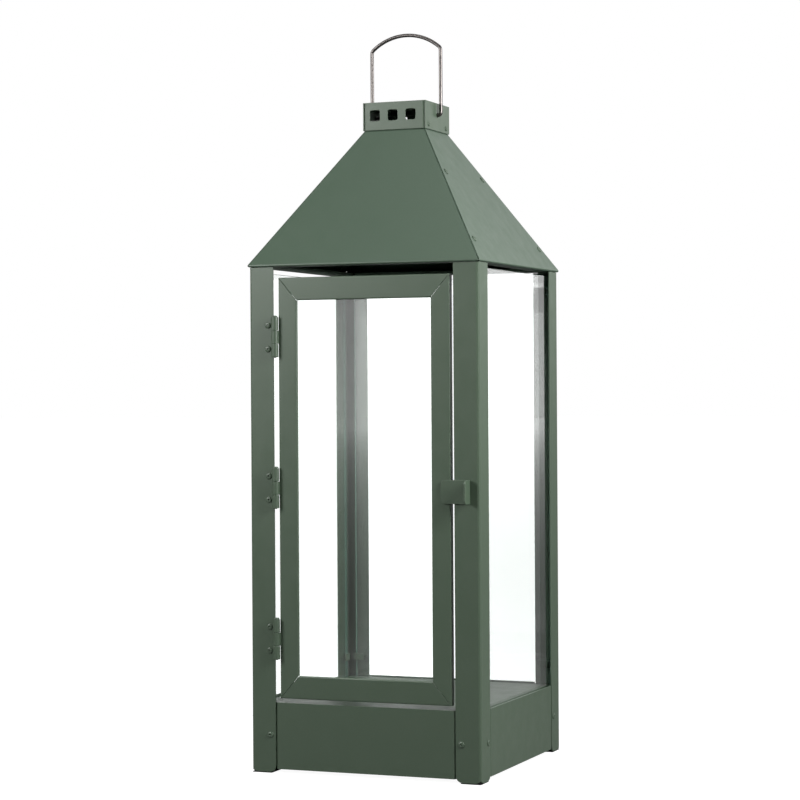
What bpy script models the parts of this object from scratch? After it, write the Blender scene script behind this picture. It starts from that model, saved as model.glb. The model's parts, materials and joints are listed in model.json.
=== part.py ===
"""Candle lantern: folded sheet-metal body, glazed door on three hinges, pyramid roof and bail handle.

A standalone Blender 4.5 script, in metres, +Z up. The lantern stands on z = 0 with its door in the -Y
side. All sizes are measured from the body's own vertical axis, and add_object sets every piece back by
SET_BACK, so that the origin is under the middle of the whole. Every sub-part is one object; pieces that
move have their origin on their joint's axis.
"""

import math

import bmesh
import bpy
from mathutils import Vector

# Body
BODY_WIDTH = 0.240  # over the faces of the corner posts, square in plan
EAVE_HEIGHT = 0.497  # standing surface to the underside of the eave
BASE_HEIGHT = 0.0696  # standing surface to the top edge of the base panels
BASE_CLEARANCE = 0.0042  # under the base panels
POST_FLANGE = 0.0258
SHEET = 0.0012  # posts, base panels and floor
FOOT_RADIUS = 0.0065  # rounded lower corners of the posts
FOOT_FOLD_START = 0.0012  # the rounding at the fold starts this far from it
FLOOR_DROP = 0.0011  # the floor lies this far below the base panels' top edges
FLOOR_SKIRT = 0.012
SHELF_LAP = 0.003  # of the panes over the shelf in each post
SHELF_STEP = 0.002  # the shelves keep this far from the ends of the panels' tabs
PANEL_OFFSET = 0.0022  # a base panel leaves its flush face this far from the posts
PANEL_TAB_STEP = 0.0005  # and has reached the level behind them this far from the posts
PANEL_TAB_SET = 0.0015  # length of the flat after that bend
PANEL_TAB_INSET = 0.012  # from the lantern's corner to the end of a panel's tab
PANEL_TAB_RAISE = 0.004  # the tab starts this far above the panel's lower edge
PANEL_TAB_DROP = 0.012  # and ends this far below its upper edge

# Roof and chimney
EAVE_OVERHANG = 0.0028
EAVE_FLANGE = 0.020
EAVE_LIP = 0.004
ROOF_RISE = 0.139
ROOF_SHEET = 0.001
ROOF_STRIP = 0.016  # joint strips folded under the side panels
ROOF_STRIP_INSET = 0.012  # the strips stop this far from the eave and from the chimney
NECK_LIP = 0.005
NECK_LIP_START = 0.001  # from here up the lip is cut short of the chimney's corners
CHIMNEY_WIDTH = 0.0672
CHIMNEY_HEIGHT = 0.028
CHIMNEY_FLANGE = 0.012
CHIMNEY_CORNER = 0.003  # kept clear for the folds of the chimney's front and back
VENT_SIZE = 0.0110
VENT_SPACING = 0.0192
VENT_SHIFT = -0.0017  # of each row along its plate
VENT_RISE = 0.0008  # of each row above the middle of its plate
VENT_RADIUS = 0.002
CAP_SKIRT = 0.0065

# Door
HINGE_GAP = 0.0053
LATCH_GAP = 0.0038
DOOR_TOP_GAP = 0.0108
DOOR_BOTTOM_GAP = 0.0041
STILE_WIDTH = 0.0195
RAIL_WIDTH = 0.0225
DOOR_SHEET = 0.001
DOOR_HEM = 0.0032
DOOR_BACK_FLANGE = 0.011
DOOR_PANE_SLACK = 0.0002  # between the pane and the channels' back flanges
PANE_HEADROOM = 0.0045  # from the top of the fixed panes to the top of the posts

# Hinges, pull and catch
HINGE_LENGTH = 0.0393
HINGE_SPACING = 0.148
BARREL_DIAMETER = 0.0068
PIN_DIAMETER = 0.003
LEAF = 0.001
LEAF_WIDTH = 0.0135
LEAF_BACK_GAP = 0.0006  # a door leaf stops this far short of the door's back
PIN_HEAD_HEIGHT = 0.0012
PIN_HEAD_SHARE = 0.8  # of the barrel's diameter
PIN_TIP = 0.0006
PULL_WIDTH = 0.029
PULL_HEIGHT = 0.0228
PULL_DEPTH = 0.0155
PULL_SHEET = 0.0015
PULL_OVERLAP = 0.0157  # of the pull's plate over the latch-side post
PULL_DROP = 0.002  # the pull's centre lies this far below the door's
PULL_RADIUS = 0.004
MAGNET_SIZE = (0.010, 0.0047, 0.016)
MAGNET_INSET = 0.0015  # from the door's latch edge
MAGNET_EDGE = 0.0006
CATCH_FOOT = 0.014  # of the bracket behind the post
CATCH_INSET = 0.0015  # of the bracket's fold behind the post's edge

# Glass
GLASS = 0.003
GLASS_OVERLAP = 0.0131  # of a fixed pane over a post flange
GLASS_EDGE_CLEARANCE = 0.0008
GLASS_EASED = 0.0004  # width of the eased edges
TAB_LIP = 0.0105
TAB_HEIGHT = 0.007
TAB_INSET = 0.020  # from the top and bottom of the glazed height

# Glides
FOOT_SIZE = 0.0212
FOOT_EDGE_GAP = 0.0003  # a glide's edge lies this far inside the post's faces
FOOT_EASED = 0.0003
FOOT_TAPER = 0.0005
FOOT_PLUG_INSET = 0.002  # of the pressed-in part from the glide's inner edges
FOOT_PLUG_HEIGHT = 0.006

# Handle
WIRE_DIAMETER = 0.0038
HANDLE_AXIS_DROP = 0.012  # below the top edge of the chimney
HANDLE_LEG = 0.068  # from the axis up to the bend
HANDLE_ARCH = 0.0145  # rise of the arch above the bends
HANDLE_SIDE_GAP = 0.0017
HANDLE_BEND = 0.005
HANDLE_END = 0.0055  # length of the hooked end inside the chimney wall
HANDLE_HOOK = 0.003  # middle radius of the bends at the pivots
HANDLE_SIDES = 10

# Rivets
RIVET_HEAD = 0.0064
RIVET_HEAD_HEIGHT = 0.0011
RIVET_SHANK = 0.0032
RIVET_TAIL = 0.0022
RIVET_TAIL_DIAMETER = 0.0044
RIVET_MANDREL = 0.0018
RIVET_SIDES = 10
HINGE_RIVET_INSET = 0.0058  # from the post's free edge
HINGE_RIVET_SPACING = 0.0233
BASE_RIVET_HEIGHT = 0.0375

# Fits
SEAT = 0.0003  # between pieces that rest on each other
SET_BACK = 0.008  # of the body's axis behind the origin, which is under the middle of the whole, pull included
HOLE_CLEARANCE = 0.0003  # on the radius
SEAM = 0.0004  # open joint between neighbouring sheets
CUT_PAST = 0.004  # a cutter runs this far past the sheet
BEND = 0.0009  # middle radius of a fold
BEND_STEPS = 2
BARREL_SIDES = 16
PIN_SIDES = 12
PIVOT_SIDES = 16

# Derived frame
HALF = BODY_WIDTH / 2
POST_INNER = HALF - POST_FLANGE
POST_BOTTOM = 0.001
POST_TOP = EAVE_HEIGHT - SEAT
EAVE_HALF = HALF + EAVE_OVERHANG
CHIMNEY_HALF = CHIMNEY_WIDTH / 2
CHIMNEY_BOTTOM = EAVE_HEIGHT + ROOF_RISE
CHIMNEY_TOP = CHIMNEY_BOTTOM + CHIMNEY_HEIGHT
VENT_HEIGHT = CHIMNEY_BOTTOM + CHIMNEY_HEIGHT / 2 + VENT_RISE
HANDLE_AXIS = CHIMNEY_TOP - HANDLE_AXIS_DROP
DOOR_LEFT = -POST_INNER + HINGE_GAP
DOOR_RIGHT = POST_INNER - LATCH_GAP
DOOR_BOTTOM = BASE_HEIGHT + DOOR_BOTTOM_GAP
DOOR_TOP = EAVE_HEIGHT - DOOR_TOP_GAP
DOOR_MIDDLE = (DOOR_BOTTOM + DOOR_TOP) / 2
DOOR_DEPTH = DOOR_HEM + GLASS + DOOR_SHEET + 2 * SEAT + DOOR_PANE_SLACK
AXIS_X = -POST_INNER + HINGE_GAP / 2
BARREL_CHORD = HINGE_GAP / 2 - SEAM
AXIS_Y = -HALF - math.sqrt((BARREL_DIAMETER / 2) ** 2 - BARREL_CHORD**2)
PANEL_TAB_END = HALF - PANEL_TAB_INSET
PANEL_TAB_LOW = BASE_CLEARANCE + PANEL_TAB_RAISE
PANEL_TAB_HIGH = BASE_HEIGHT - PANEL_TAB_DROP
PANE_OUTER = HALF - 2 * SHEET - 2 * SEAT
PANE_HALF = POST_INNER + GLASS_OVERLAP
FLOOR_TOP = BASE_HEIGHT - FLOOR_DROP
FLOOR_HALF = PANE_OUTER - GLASS - 4 * SEAT
SHELF = FLOOR_TOP - FLOOR_SKIRT - SEAT
PANE_BOTTOM = SHELF + SEAT
PANE_TOP = POST_TOP - PANE_HEADROOM
LEAF_BACK = -HALF + SHEET + SEAT  # front of what lies behind a front post flange
BARREL_BACK = AXIS_Y + BARREL_DIAMETER / 2 + SEAM

GREEN = ("moss_green_powder_coat", (0.090, 0.118, 0.086), 0.42, 0.0)
STEEL = ("stainless_steel", (0.62, 0.60, 0.58), 0.22, 1.0)
GLASS_LOOK = ("clear_glass", (0.85, 0.92, 0.89), 0.03, 0.0)
BLACK = ("black_plastic", (0.015, 0.015, 0.016), 0.55, 0.0)
MAGNET = ("magnet", (0.10, 0.10, 0.11), 0.45, 0.6)
SIDES = ("front", "right", "back", "left")


def clear_scene():
    for obj in list(bpy.data.objects):
        bpy.data.objects.remove(obj, do_unlink=True)


def material(look):
    name, colour, roughness, metallic = look
    found = bpy.data.materials.get(name)
    if found:
        return found
    made = bpy.data.materials.new(name)
    made.use_nodes = True
    shader = made.node_tree.nodes["Principled BSDF"]
    shader.inputs["Base Color"].default_value = (*colour, 1.0)
    shader.inputs["Roughness"].default_value = roughness
    shader.inputs["Metallic"].default_value = metallic
    return made


def add_object(name, bm, look, origin=(0, 0, 0), guide=False):
    """Turn a bmesh measured from the body's axis into an object whose origin lies at the given point."""
    bmesh.ops.recalc_face_normals(bm, faces=bm.faces)
    bmesh.ops.translate(bm, verts=bm.verts, vec=-Vector(origin))
    mesh = bpy.data.meshes.new(name)
    bm.to_mesh(mesh)
    bm.free()
    obj = bpy.data.objects.new(name, mesh)
    obj.location = Vector(origin) + Vector((0, SET_BACK, 0))
    bpy.context.scene.collection.objects.link(obj)
    if guide:
        obj.hide_render = True
        obj.display_type = "WIRE"
        return obj
    mesh.materials.append(material(look))
    mesh.shade_smooth()
    mesh.set_sharp_from_angle(angle=math.radians(35))
    return obj


def combine(obj, other, operation):
    modifier = obj.modifiers.new(operation.lower(), "BOOLEAN")
    modifier.operation = operation
    modifier.object = other
    modifier.solver = "EXACT"


def add_box(bm, low, high):
    corners = [(x, y, z) for z in (low[2], high[2]) for x, y in ((0, 0), (1, 0), (1, 1), (0, 1))]
    verts = []
    for x, y, z in corners:
        verts.append(bm.verts.new((high[0] if x else low[0], high[1] if y else low[1], z)))
    add_hexahedron_faces(bm, verts)


def add_hexahedron_faces(bm, verts):
    """Close eight corners, four below and four above in the same turning order."""
    bm.faces.new(verts[3::-1])
    bm.faces.new(verts[4:])
    for i in range(4):
        j = (i + 1) % 4
        bm.faces.new((verts[i], verts[j], verts[4 + j], verts[4 + i]))


def add_prism(bm, outline, place, start, end):
    """Extrude a closed 2D outline between two positions along a third direction."""
    lower = [bm.verts.new(place(Vector(p), start)) for p in outline]
    upper = [bm.verts.new(place(Vector(p), end)) for p in outline]
    bm.faces.new(lower[::-1])
    bm.faces.new(upper)
    count = len(outline)
    for i in range(count):
        j = (i + 1) % count
        bm.faces.new((lower[i], lower[j], upper[j], upper[i]))


def add_turned(bm, profile, sides, place):
    """Turn a profile of (radius, height) pairs that starts and ends on the axis."""
    rings = []
    for radius, height in profile:
        count = sides if radius > 0 else 1
        ring = []
        for i in range(count):
            angle = 2 * math.pi * i / sides
            ring.append(bm.verts.new(place(radius * math.cos(angle), radius * math.sin(angle), height)))
        rings.append(ring)
    for low, high in zip(rings, rings[1:]):
        for i in range(sides):
            j = (i + 1) % sides
            corners = [low[i % len(low)], low[j % len(low)], high[j % len(high)], high[i % len(high)]]
            bm.faces.new(list(dict.fromkeys(corners)))


def cylinder_profile(radius, low, high):
    return [(0, low), (radius, low), (radius, high), (0, high)]


def offset_path(path, distance):
    """Move an open path to its left by a distance, keeping its corners sharp."""
    points = [Vector(p) for p in path]
    normals = []
    for a, b in zip(points, points[1:]):
        along = (b - a).normalized()
        normals.append(Vector((-along.y, along.x)))
    moved = [points[0] + normals[0] * distance]
    for i in range(1, len(points) - 1):
        before, after = normals[i - 1], normals[i]
        bisector = (before + after).normalized()
        moved.append(points[i] + bisector * distance / bisector.dot(before))
    moved.append(points[-1] + normals[-1] * distance)
    return moved


def folded_section(path, thickness, radius):
    """Pairs of outer and inner points along a folded sheet, with every corner bent round a radius."""
    middle = offset_path(path, thickness / 2)
    samples = []
    for i, point in enumerate(middle):
        before = (point - middle[i - 1]).normalized() if i else None
        after = (middle[i + 1] - point).normalized() if i < len(middle) - 1 else None
        before = before or after
        after = after or before
        turn = before.angle_signed(after, 0.0)
        if abs(turn) < 1e-4:
            samples.append((point, Vector((-before.y, before.x))))
            continue
        reach = radius * math.tan(abs(turn) / 2)
        start = point - before * reach
        side = math.copysign(1.0, before.x * after.y - before.y * after.x)
        normal = Vector((-before.y, before.x)) * side
        centre = start + normal * radius
        for step in range(BEND_STEPS + 1):
            angle = side * abs(turn) * step / BEND_STEPS
            spoke = Vector(
                (
                    -normal.x * math.cos(angle) + normal.y * math.sin(angle),
                    -normal.x * math.sin(angle) - normal.y * math.cos(angle),
                )
            )
            samples.append((centre + spoke * radius, -spoke * side))
    half = thickness / 2
    return [(point - normal * half, point + normal * half) for point, normal in samples]


def folded_sheet(bm, path, thickness, place, ends, radius=BEND):
    """A folded sheet: the path is its outer face, the sheet lies to the path's left, and ends gives
    how far the sheet runs each way for any point of the section."""
    rows = []
    for outer, inner in folded_section(path, thickness, radius):
        row = []
        for point, end in ((outer, 0), (outer, 1), (inner, 1), (inner, 0)):
            row.append(bm.verts.new(place(point, ends(point)[end])))
        rows.append(row)
    for near, far in zip(rows, rows[1:]):
        for i in range(4):
            j = (i + 1) % 4
            bm.faces.new((near[i], near[j], far[j], far[i]))
    bm.faces.new(rows[0])
    bm.faces.new(rows[-1][::-1])


def corner_height(distance, radius):
    """Height of a rounded corner above the straight edge, at a distance from the corner."""
    if distance >= radius:
        return 0.0
    inside = max(radius - distance, 0.0)
    return radius - math.sqrt(radius**2 - min(inside, radius) ** 2)


def rounding_stops(radius, steps=4):
    """Distances from a corner at which its rounded edge needs points, out to the radius."""
    return [radius * (1 - math.cos(math.pi / 2 * i / steps)) for i in range(1, steps + 1)]


def side_place(side):
    """Place a point given along a side, outward from the axis and up, on one of the four sides."""
    turn = SIDES.index(side)

    def place(along, outward, up):
        x, y = along, -outward
        for _ in range(turn):
            x, y = -y, x
        return (x, y, up)

    return place


# Posts


def post_outline():
    """Outer face of a post in plan, in the corner where x and y are positive."""
    stops = rounding_stops(FOOT_RADIUS)
    up = [(HALF, POST_INNER)]
    up += [(HALF, POST_INNER + stop) for stop in stops]
    up += [(HALF, HALF - stop) for stop in stops[::-1] if stop > 3 * BEND]
    return up + [(HALF, HALF)] + [(y, x) for x, y in up[::-1]]


def post_ends(point):
    along = HALF - min(abs(point.x), abs(point.y))
    fold = corner_height(max(along - SHEET, 0.0) + FOOT_FOLD_START, FOOT_RADIUS)
    edge = corner_height(POST_FLANGE - along, FOOT_RADIUS)
    return POST_BOTTOM + max(fold, edge), POST_TOP


def corner_place(sx, sy):
    return lambda point, up: (sx * point.x, sy * point.y, up)


def gusset_outline():
    """A small level plate in the corner of a post, stepped round the base panels' tabs."""
    root = HALF - SHEET / 2
    near = PANEL_TAB_END + SHELF_STEP
    inner = PANE_OUTER
    tip = PANE_HALF - SHELF_LAP
    half = [(near, root), (near, inner), (tip, inner), (tip, tip)]
    return [(root, root)] + half + [(y, x) for x, y in half[2::-1]]


def glass_tab_outline():
    """A tab in plan that stands on a post's side flange and folds over a pane's edge."""
    root = HALF - SHEET / 2
    edge = PANE_HALF + GLASS_EDGE_CLEARANCE
    inner = PANE_OUTER - GLASS - 1.5 * SEAT
    return [
        (root, edge),
        (root, edge + LEAF),
        (inner - LEAF, edge + LEAF),
        (inner - LEAF, edge + LEAF - TAB_LIP),
        (inner, edge + LEAF - TAB_LIP),
        (inner, edge),
    ]


def build_post(name, sx, sy, glazed):
    """A folded angle; glazed names the flanges, x or y, that hold the edge of a fixed pane."""
    bm = bmesh.new()
    place = corner_place(sx, sy)
    folded_sheet(bm, post_outline(), SHEET, place, post_ends, radius=2 * BEND)
    post = add_object(name, bm, GREEN)

    tabs = bmesh.new()
    top = POST_TOP - SEAT
    add_prism(tabs, gusset_outline(), place, top - SHEET, top)
    add_prism(tabs, gusset_outline(), place, SHELF - SHEET, SHELF)
    for height in (BASE_HEIGHT + TAB_INSET, EAVE_HEIGHT - TAB_INSET):
        for flange in glazed:
            outline = glass_tab_outline()
            if flange == "y":
                outline = [(y, x) for x, y in outline]
            add_prism(tabs, outline, place, height - TAB_HEIGHT / 2, height + TAB_HEIGHT / 2)
    combine(post, add_object(name + "_tabs", tabs, GREEN, guide=True), "UNION")
    return post


# Rivets


def rivet_profile(grip):
    """A blind rivet seated at height 0, with its head above and its tail below the grip."""
    head, shank, tail = RIVET_HEAD / 2, RIVET_SHANK / 2, RIVET_TAIL_DIAMETER / 2
    mandrel, top = RIVET_MANDREL / 2, RIVET_HEAD_HEIGHT
    seat = SEAT / 2
    return [
        (0, -grip - RIVET_TAIL),
        (0.7 * tail, -grip - RIVET_TAIL),
        (tail, -grip - SEAT - RIVET_TAIL / 3),
        (shank, -grip - SEAT),
        (shank, seat),
        (head, seat),
        (head, seat + 0.25 * top),
        (0.62 * head, seat + 0.95 * top),
        (mandrel, seat + top),
        (mandrel, seat + 0.2 * top),
        (0, seat + 0.2 * top),
    ]


def build_rivet(name, along, up, side, grip):
    place = side_place(side)
    bm = bmesh.new()
    add_turned(
        bm, rivet_profile(grip), RIVET_SIDES, lambda a, b, out: place(along + a, HALF + out, up + b)
    )
    return add_object(name, bm, GREEN, origin=place(along, HALF, up))


def drill(obj, name, holes):
    """Cut a rivet's clearance hole at each (side, along, up)."""
    bm = bmesh.new()
    radius = RIVET_SHANK / 2 + HOLE_CLEARANCE
    for side, along, up in holes:
        place = side_place(side)
        add_turned(
            bm,
            cylinder_profile(radius, -3 * SHEET - CUT_PAST, CUT_PAST),
            RIVET_SIDES,
            lambda a, b, out: place(along + a, HALF + out, up + b),
        )
    combine(obj, add_object(name, bm, GREEN, guide=True), "DIFFERENCE")


# Base


def panel_outline():
    """Outer face of a base panel in plan: flush between the posts, with a tab behind each post."""
    flush = POST_INNER - PANEL_OFFSET
    tab = POST_INNER - PANEL_TAB_STEP
    behind = HALF - SHEET - SEAT
    right = [(PANEL_TAB_END, behind), (tab + PANEL_TAB_SET, behind), (tab, behind), (flush, HALF)]
    return right + [(-x, y) for x, y in right[::-1]]


def panel_ends(point):
    if abs(point.x) > POST_INNER + PANEL_TAB_SET / 2:
        return PANEL_TAB_LOW, PANEL_TAB_HIGH
    return BASE_CLEARANCE, BASE_HEIGHT


def build_base_panel(side):
    place = side_place(side)
    bm = bmesh.new()
    folded_sheet(
        bm, panel_outline(), SHEET, lambda p, up: place(p.x, p.y, up), panel_ends, radius=0.7 * BEND
    )
    return add_object("base_panel_" + side, bm, GREEN)


def build_tray(name, half, top, skirt, thickness, look):
    """A square plate with its four edges folded down."""
    bm = bmesh.new()
    bottom = top - skirt
    inner = half - thickness
    outer_ring = [(1, 1), (-1, 1), (-1, -1), (1, -1)]
    levels = (
        (half, bottom),
        (half, top - thickness),
        (half - 0.4 * thickness, top),
        (inner, top - thickness),
        (inner, bottom),
    )
    rings = []
    for size, z in levels:
        rings.append([bm.verts.new((x * size, y * size, z)) for x, y in outer_ring])
    lower_rim, side, top_ring, under, inner_rim = rings
    for near, far in ((lower_rim, side), (side, top_ring), (under, inner_rim), (inner_rim, lower_rim)):
        for i in range(4):
            j = (i + 1) % 4
            bm.faces.new((near[i], near[j], far[j], far[i]))
    bm.faces.new(top_ring)
    bm.faces.new(under[::-1])
    return add_object(name, bm, look)


def build_foot(name, sx, sy):
    """A glide with a tapered plug that is pressed up into the foot of a post."""
    outer = HALF - FOOT_EDGE_GAP
    inner = HALF - FOOT_SIZE
    plug_outer = HALF - SHEET - SEAT
    plug_inner = inner + FOOT_PLUG_INSET
    collar = POST_BOTTOM - SEAT
    levels = (
        (outer - FOOT_TAPER, inner + FOOT_TAPER, 0.0),
        (outer, inner, FOOT_EASED),
        (outer, inner, collar),
        (plug_outer, plug_inner, collar),
        (plug_outer - FOOT_TAPER, plug_inner - FOOT_TAPER, FOOT_PLUG_HEIGHT),
    )
    bm = bmesh.new()
    rings = []
    for high, low, z in levels:
        corners = ((high, high), (low, high), (low, low), (high, low))
        rings.append([bm.verts.new((sx * x, sy * y, z)) for x, y in corners])
    for near, far in zip(rings, rings[1:]):
        for i in range(4):
            j = (i + 1) % 4
            bm.faces.new((near[i], near[j], far[j], far[i]))
    bm.faces.new(rings[0])
    bm.faces.new(rings[-1][::-1])
    return add_object(name, bm, BLACK)


# Roof and chimney


def roof_slope():
    """Outward position of the roof's outer face at a height."""
    top = CHIMNEY_HALF - ROOF_SHEET
    rise = CHIMNEY_BOTTOM - SEAT - EAVE_HEIGHT
    return lambda up: EAVE_HALF + (top - EAVE_HALF) * (up - EAVE_HEIGHT) / rise


def neck_outer():
    return CHIMNEY_HALF - ROOF_SHEET - SEAT


def neck_height():
    """Height at which a roof panel turns up inside the chimney."""
    slope = roof_slope()
    run = slope(EAVE_HEIGHT) - slope(EAVE_HEIGHT + 1)
    return EAVE_HEIGHT + (EAVE_HALF - neck_outer()) / run


def roof_outline():
    """Outer face of a roof panel, from its eave lip up to its lip inside the chimney."""
    inward = EAVE_HALF - EAVE_FLANGE
    neck = neck_height()
    return [
        (inward, EAVE_HEIGHT + EAVE_LIP),
        (inward, EAVE_HEIGHT),
        (EAVE_HALF, EAVE_HEIGHT),
        (neck_outer(), neck),
        (neck_outer(), neck + NECK_LIP_START),
        (neck_outer(), neck + NECK_LIP),
    ]


def add_ridge_strip(bm, place, hand):
    """A strip along one ridge that lies under the neighbouring side panel."""
    slope = roof_slope()
    run = slope(EAVE_HEIGHT) - slope(EAVE_HEIGHT + 1)
    depth = ROOF_SHEET * math.sqrt(1 + run**2)
    verts = []
    for up in (EAVE_HEIGHT + ROOF_STRIP_INSET, CHIMNEY_BOTTOM - ROOF_STRIP_INSET):
        under = slope(up) - depth
        outer, inner = under - SEAT, under - SEAT - depth
        front, back = under + depth / 2, under - ROOF_STRIP
        for along, outward in ((outer, front), (inner, front), (inner, back), (outer, back)):
            verts.append(bm.verts.new(place(hand * along, outward, up)))
    add_hexahedron_faces(bm, verts)


def build_roof_panel(side):
    place = side_place(side)
    mitre = SEAM / math.sqrt(2)
    lip = neck_height() + NECK_LIP_START

    def ends(point):
        reach = point.x - mitre
        if point.y > lip - SEAT and point.x < CHIMNEY_HALF:
            reach = CHIMNEY_HALF - CHIMNEY_CORNER - ROOF_SHEET
        return -reach, reach

    bm = bmesh.new()
    folded_sheet(bm, roof_outline(), ROOF_SHEET, lambda p, along: place(along, p.x, p.y), ends)
    panel = add_object("roof_panel_" + side, bm, GREEN)
    if side in ("front", "back"):
        strips = bmesh.new()
        for hand in (-1, 1):
            add_ridge_strip(strips, place, hand)
        combine(panel, add_object("roof_strips_" + side, strips, GREEN, guide=True), "UNION")
    return panel


def rounded_square(size, radius, steps=3):
    points = []
    reach = size / 2 - radius
    for quarter, (cx, cy) in enumerate(((1, 1), (-1, 1), (-1, -1), (1, -1))):
        for step in range(steps + 1):
            angle = math.pi / 2 * (quarter + step / steps)
            points.append((cx * reach + radius * math.cos(angle), cy * reach + radius * math.sin(angle)))
    return points


def build_chimney_face(side):
    """The front or back of the chimney, with its flanges folded inside the side plates."""
    place = side_place(side)
    fold = neck_outer()
    flange_end = CHIMNEY_HALF - CHIMNEY_FLANGE
    corner = CHIMNEY_HALF - CHIMNEY_CORNER
    right = [(fold, flange_end), (fold, corner - ROOF_SHEET / 2), (fold, corner), (fold, CHIMNEY_HALF)]
    outline = right + [(-x, y) for x, y in right[::-1]]

    def ends(point):
        low = CHIMNEY_BOTTOM
        if point.y < corner - SEAT:
            low = neck_height() + NECK_LIP + SEAT
        elif point.y < CHIMNEY_HALF - ROOF_SHEET:
            low = neck_height() + NECK_LIP_START + SEAT
        return low, CHIMNEY_TOP

    bm = bmesh.new()
    folded_sheet(bm, outline, ROOF_SHEET, lambda p, up: place(p.x, p.y, up), ends)
    face = add_object("chimney_" + side, bm, GREEN)
    holes = bmesh.new()
    for i in (-1, 0, 1):
        add_prism(
            holes,
            rounded_square(VENT_SIZE, VENT_RADIUS),
            lambda p, out: place(p.x + VENT_SHIFT + i * VENT_SPACING, out, VENT_HEIGHT + p.y),
            CHIMNEY_HALF - 3 * ROOF_SHEET,
            CHIMNEY_HALF + ROOF_SHEET,
        )
    combine(face, add_object("vent_cutters_" + side, holes, GREEN, guide=True), "DIFFERENCE")
    return face


def build_chimney_side(side):
    place = side_place(side)
    bm = bmesh.new()
    low = place(-CHIMNEY_HALF, CHIMNEY_HALF - ROOF_SHEET, CHIMNEY_BOTTOM)
    high = place(CHIMNEY_HALF, CHIMNEY_HALF, CHIMNEY_TOP)
    add_box(bm, [min(a, b) for a, b in zip(low, high)], [max(a, b) for a, b in zip(low, high)])
    plate = add_object("chimney_" + side, bm, GREEN)
    hole = bmesh.new()
    radius = WIRE_DIAMETER / 2 + 1.5 * HOLE_CLEARANCE
    add_turned(
        hole,
        cylinder_profile(radius, -CUT_PAST, CUT_PAST),
        PIVOT_SIDES,
        lambda a, b, out: place(a, CHIMNEY_HALF + out, HANDLE_AXIS + b),
    )
    combine(plate, add_object("pivot_cutter_" + side, hole, GREEN, guide=True), "DIFFERENCE")
    return plate


# Handle


def arc_points(centre, radius, start, end, steps):
    points = []
    for i in range(steps + 1):
        angle = start + (end - start) * i / steps
        points.append(centre + Vector((math.cos(angle), math.sin(angle))) * radius)
    return points


def handle_path():
    """Middle line of the wire in its own plane, from one hooked end to the other."""
    leg = CHIMNEY_HALF + HANDLE_SIDE_GAP + WIRE_DIAMETER / 2
    shoulder = HANDLE_AXIS + HANDLE_LEG
    arch_radius = (leg**2 + HANDLE_ARCH**2) / (2 * HANDLE_ARCH)
    arch_centre = Vector((0, shoulder + HANDLE_ARCH - arch_radius))
    hook = HANDLE_HOOK
    hook_arc = arc_points(Vector((leg - hook, HANDLE_AXIS + hook)), hook, -math.pi / 2, 0, 4)

    bend_x = leg - HANDLE_BEND
    bend_drop = math.sqrt((arch_radius - HANDLE_BEND) ** 2 - bend_x**2)
    bend_centre = Vector((bend_x, arch_centre.y + bend_drop))
    bend_end = math.atan2(bend_drop, bend_x)
    bend_arc = arc_points(bend_centre, HANDLE_BEND, 0, bend_end, 5)
    arch = arc_points(arch_centre, arch_radius, bend_end, math.pi / 2, 7)

    inner_end = CHIMNEY_HALF - ROOF_SHEET - HANDLE_END
    right = [Vector((inner_end, HANDLE_AXIS))] + hook_arc + bend_arc + arch[1:]
    return right + [Vector((-p.x, p.y)) for p in right[-2::-1]]


def build_handle():
    """A round wire swept along the handle's path, with its origin on the pivot axis."""
    path = handle_path()
    bm = bmesh.new()
    rings = []
    for i, point in enumerate(path):
        before = path[max(i - 1, 0)]
        after = path[min(i + 1, len(path) - 1)]
        along = (after - before).normalized()
        across = Vector((-along.y, along.x))
        ring = []
        for k in range(HANDLE_SIDES):
            angle = 2 * math.pi * k / HANDLE_SIDES
            offset = across * math.cos(angle) * WIRE_DIAMETER / 2
            out = math.sin(angle) * WIRE_DIAMETER / 2
            ring.append(bm.verts.new((point.x + offset.x, out, point.y + offset.y)))
        rings.append(ring)
    for near, far in zip(rings, rings[1:]):
        for k in range(HANDLE_SIDES):
            m = (k + 1) % HANDLE_SIDES
            bm.faces.new((near[k], near[m], far[m], far[k]))
    bm.faces.new(rings[0])
    bm.faces.new(rings[-1][::-1])
    return add_object("handle", bm, STEEL, origin=(0, 0, HANDLE_AXIS))


# Door


def door_outline(width):
    """Outer face of a door rail: across from the door's edge, and back from its front."""
    return [(DOOR_BACK_FLANGE, DOOR_DEPTH), (0, DOOR_DEPTH), (0, 0), (width, 0), (width, DOOR_HEM)]


def build_door_rail(name, width, mitre, half_length, place):
    """One mitred channel of the door; mitre is how far its end recedes for each metre across."""

    def ends(point):
        reach = half_length - point.x * mitre - SEAM / 2
        return -reach, reach

    bm = bmesh.new()
    folded_sheet(bm, door_outline(width), DOOR_SHEET, place, ends, radius=0.8 * BEND)
    return add_object(name, bm, GREEN, origin=(AXIS_X, AXIS_Y, DOOR_MIDDLE))


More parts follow.
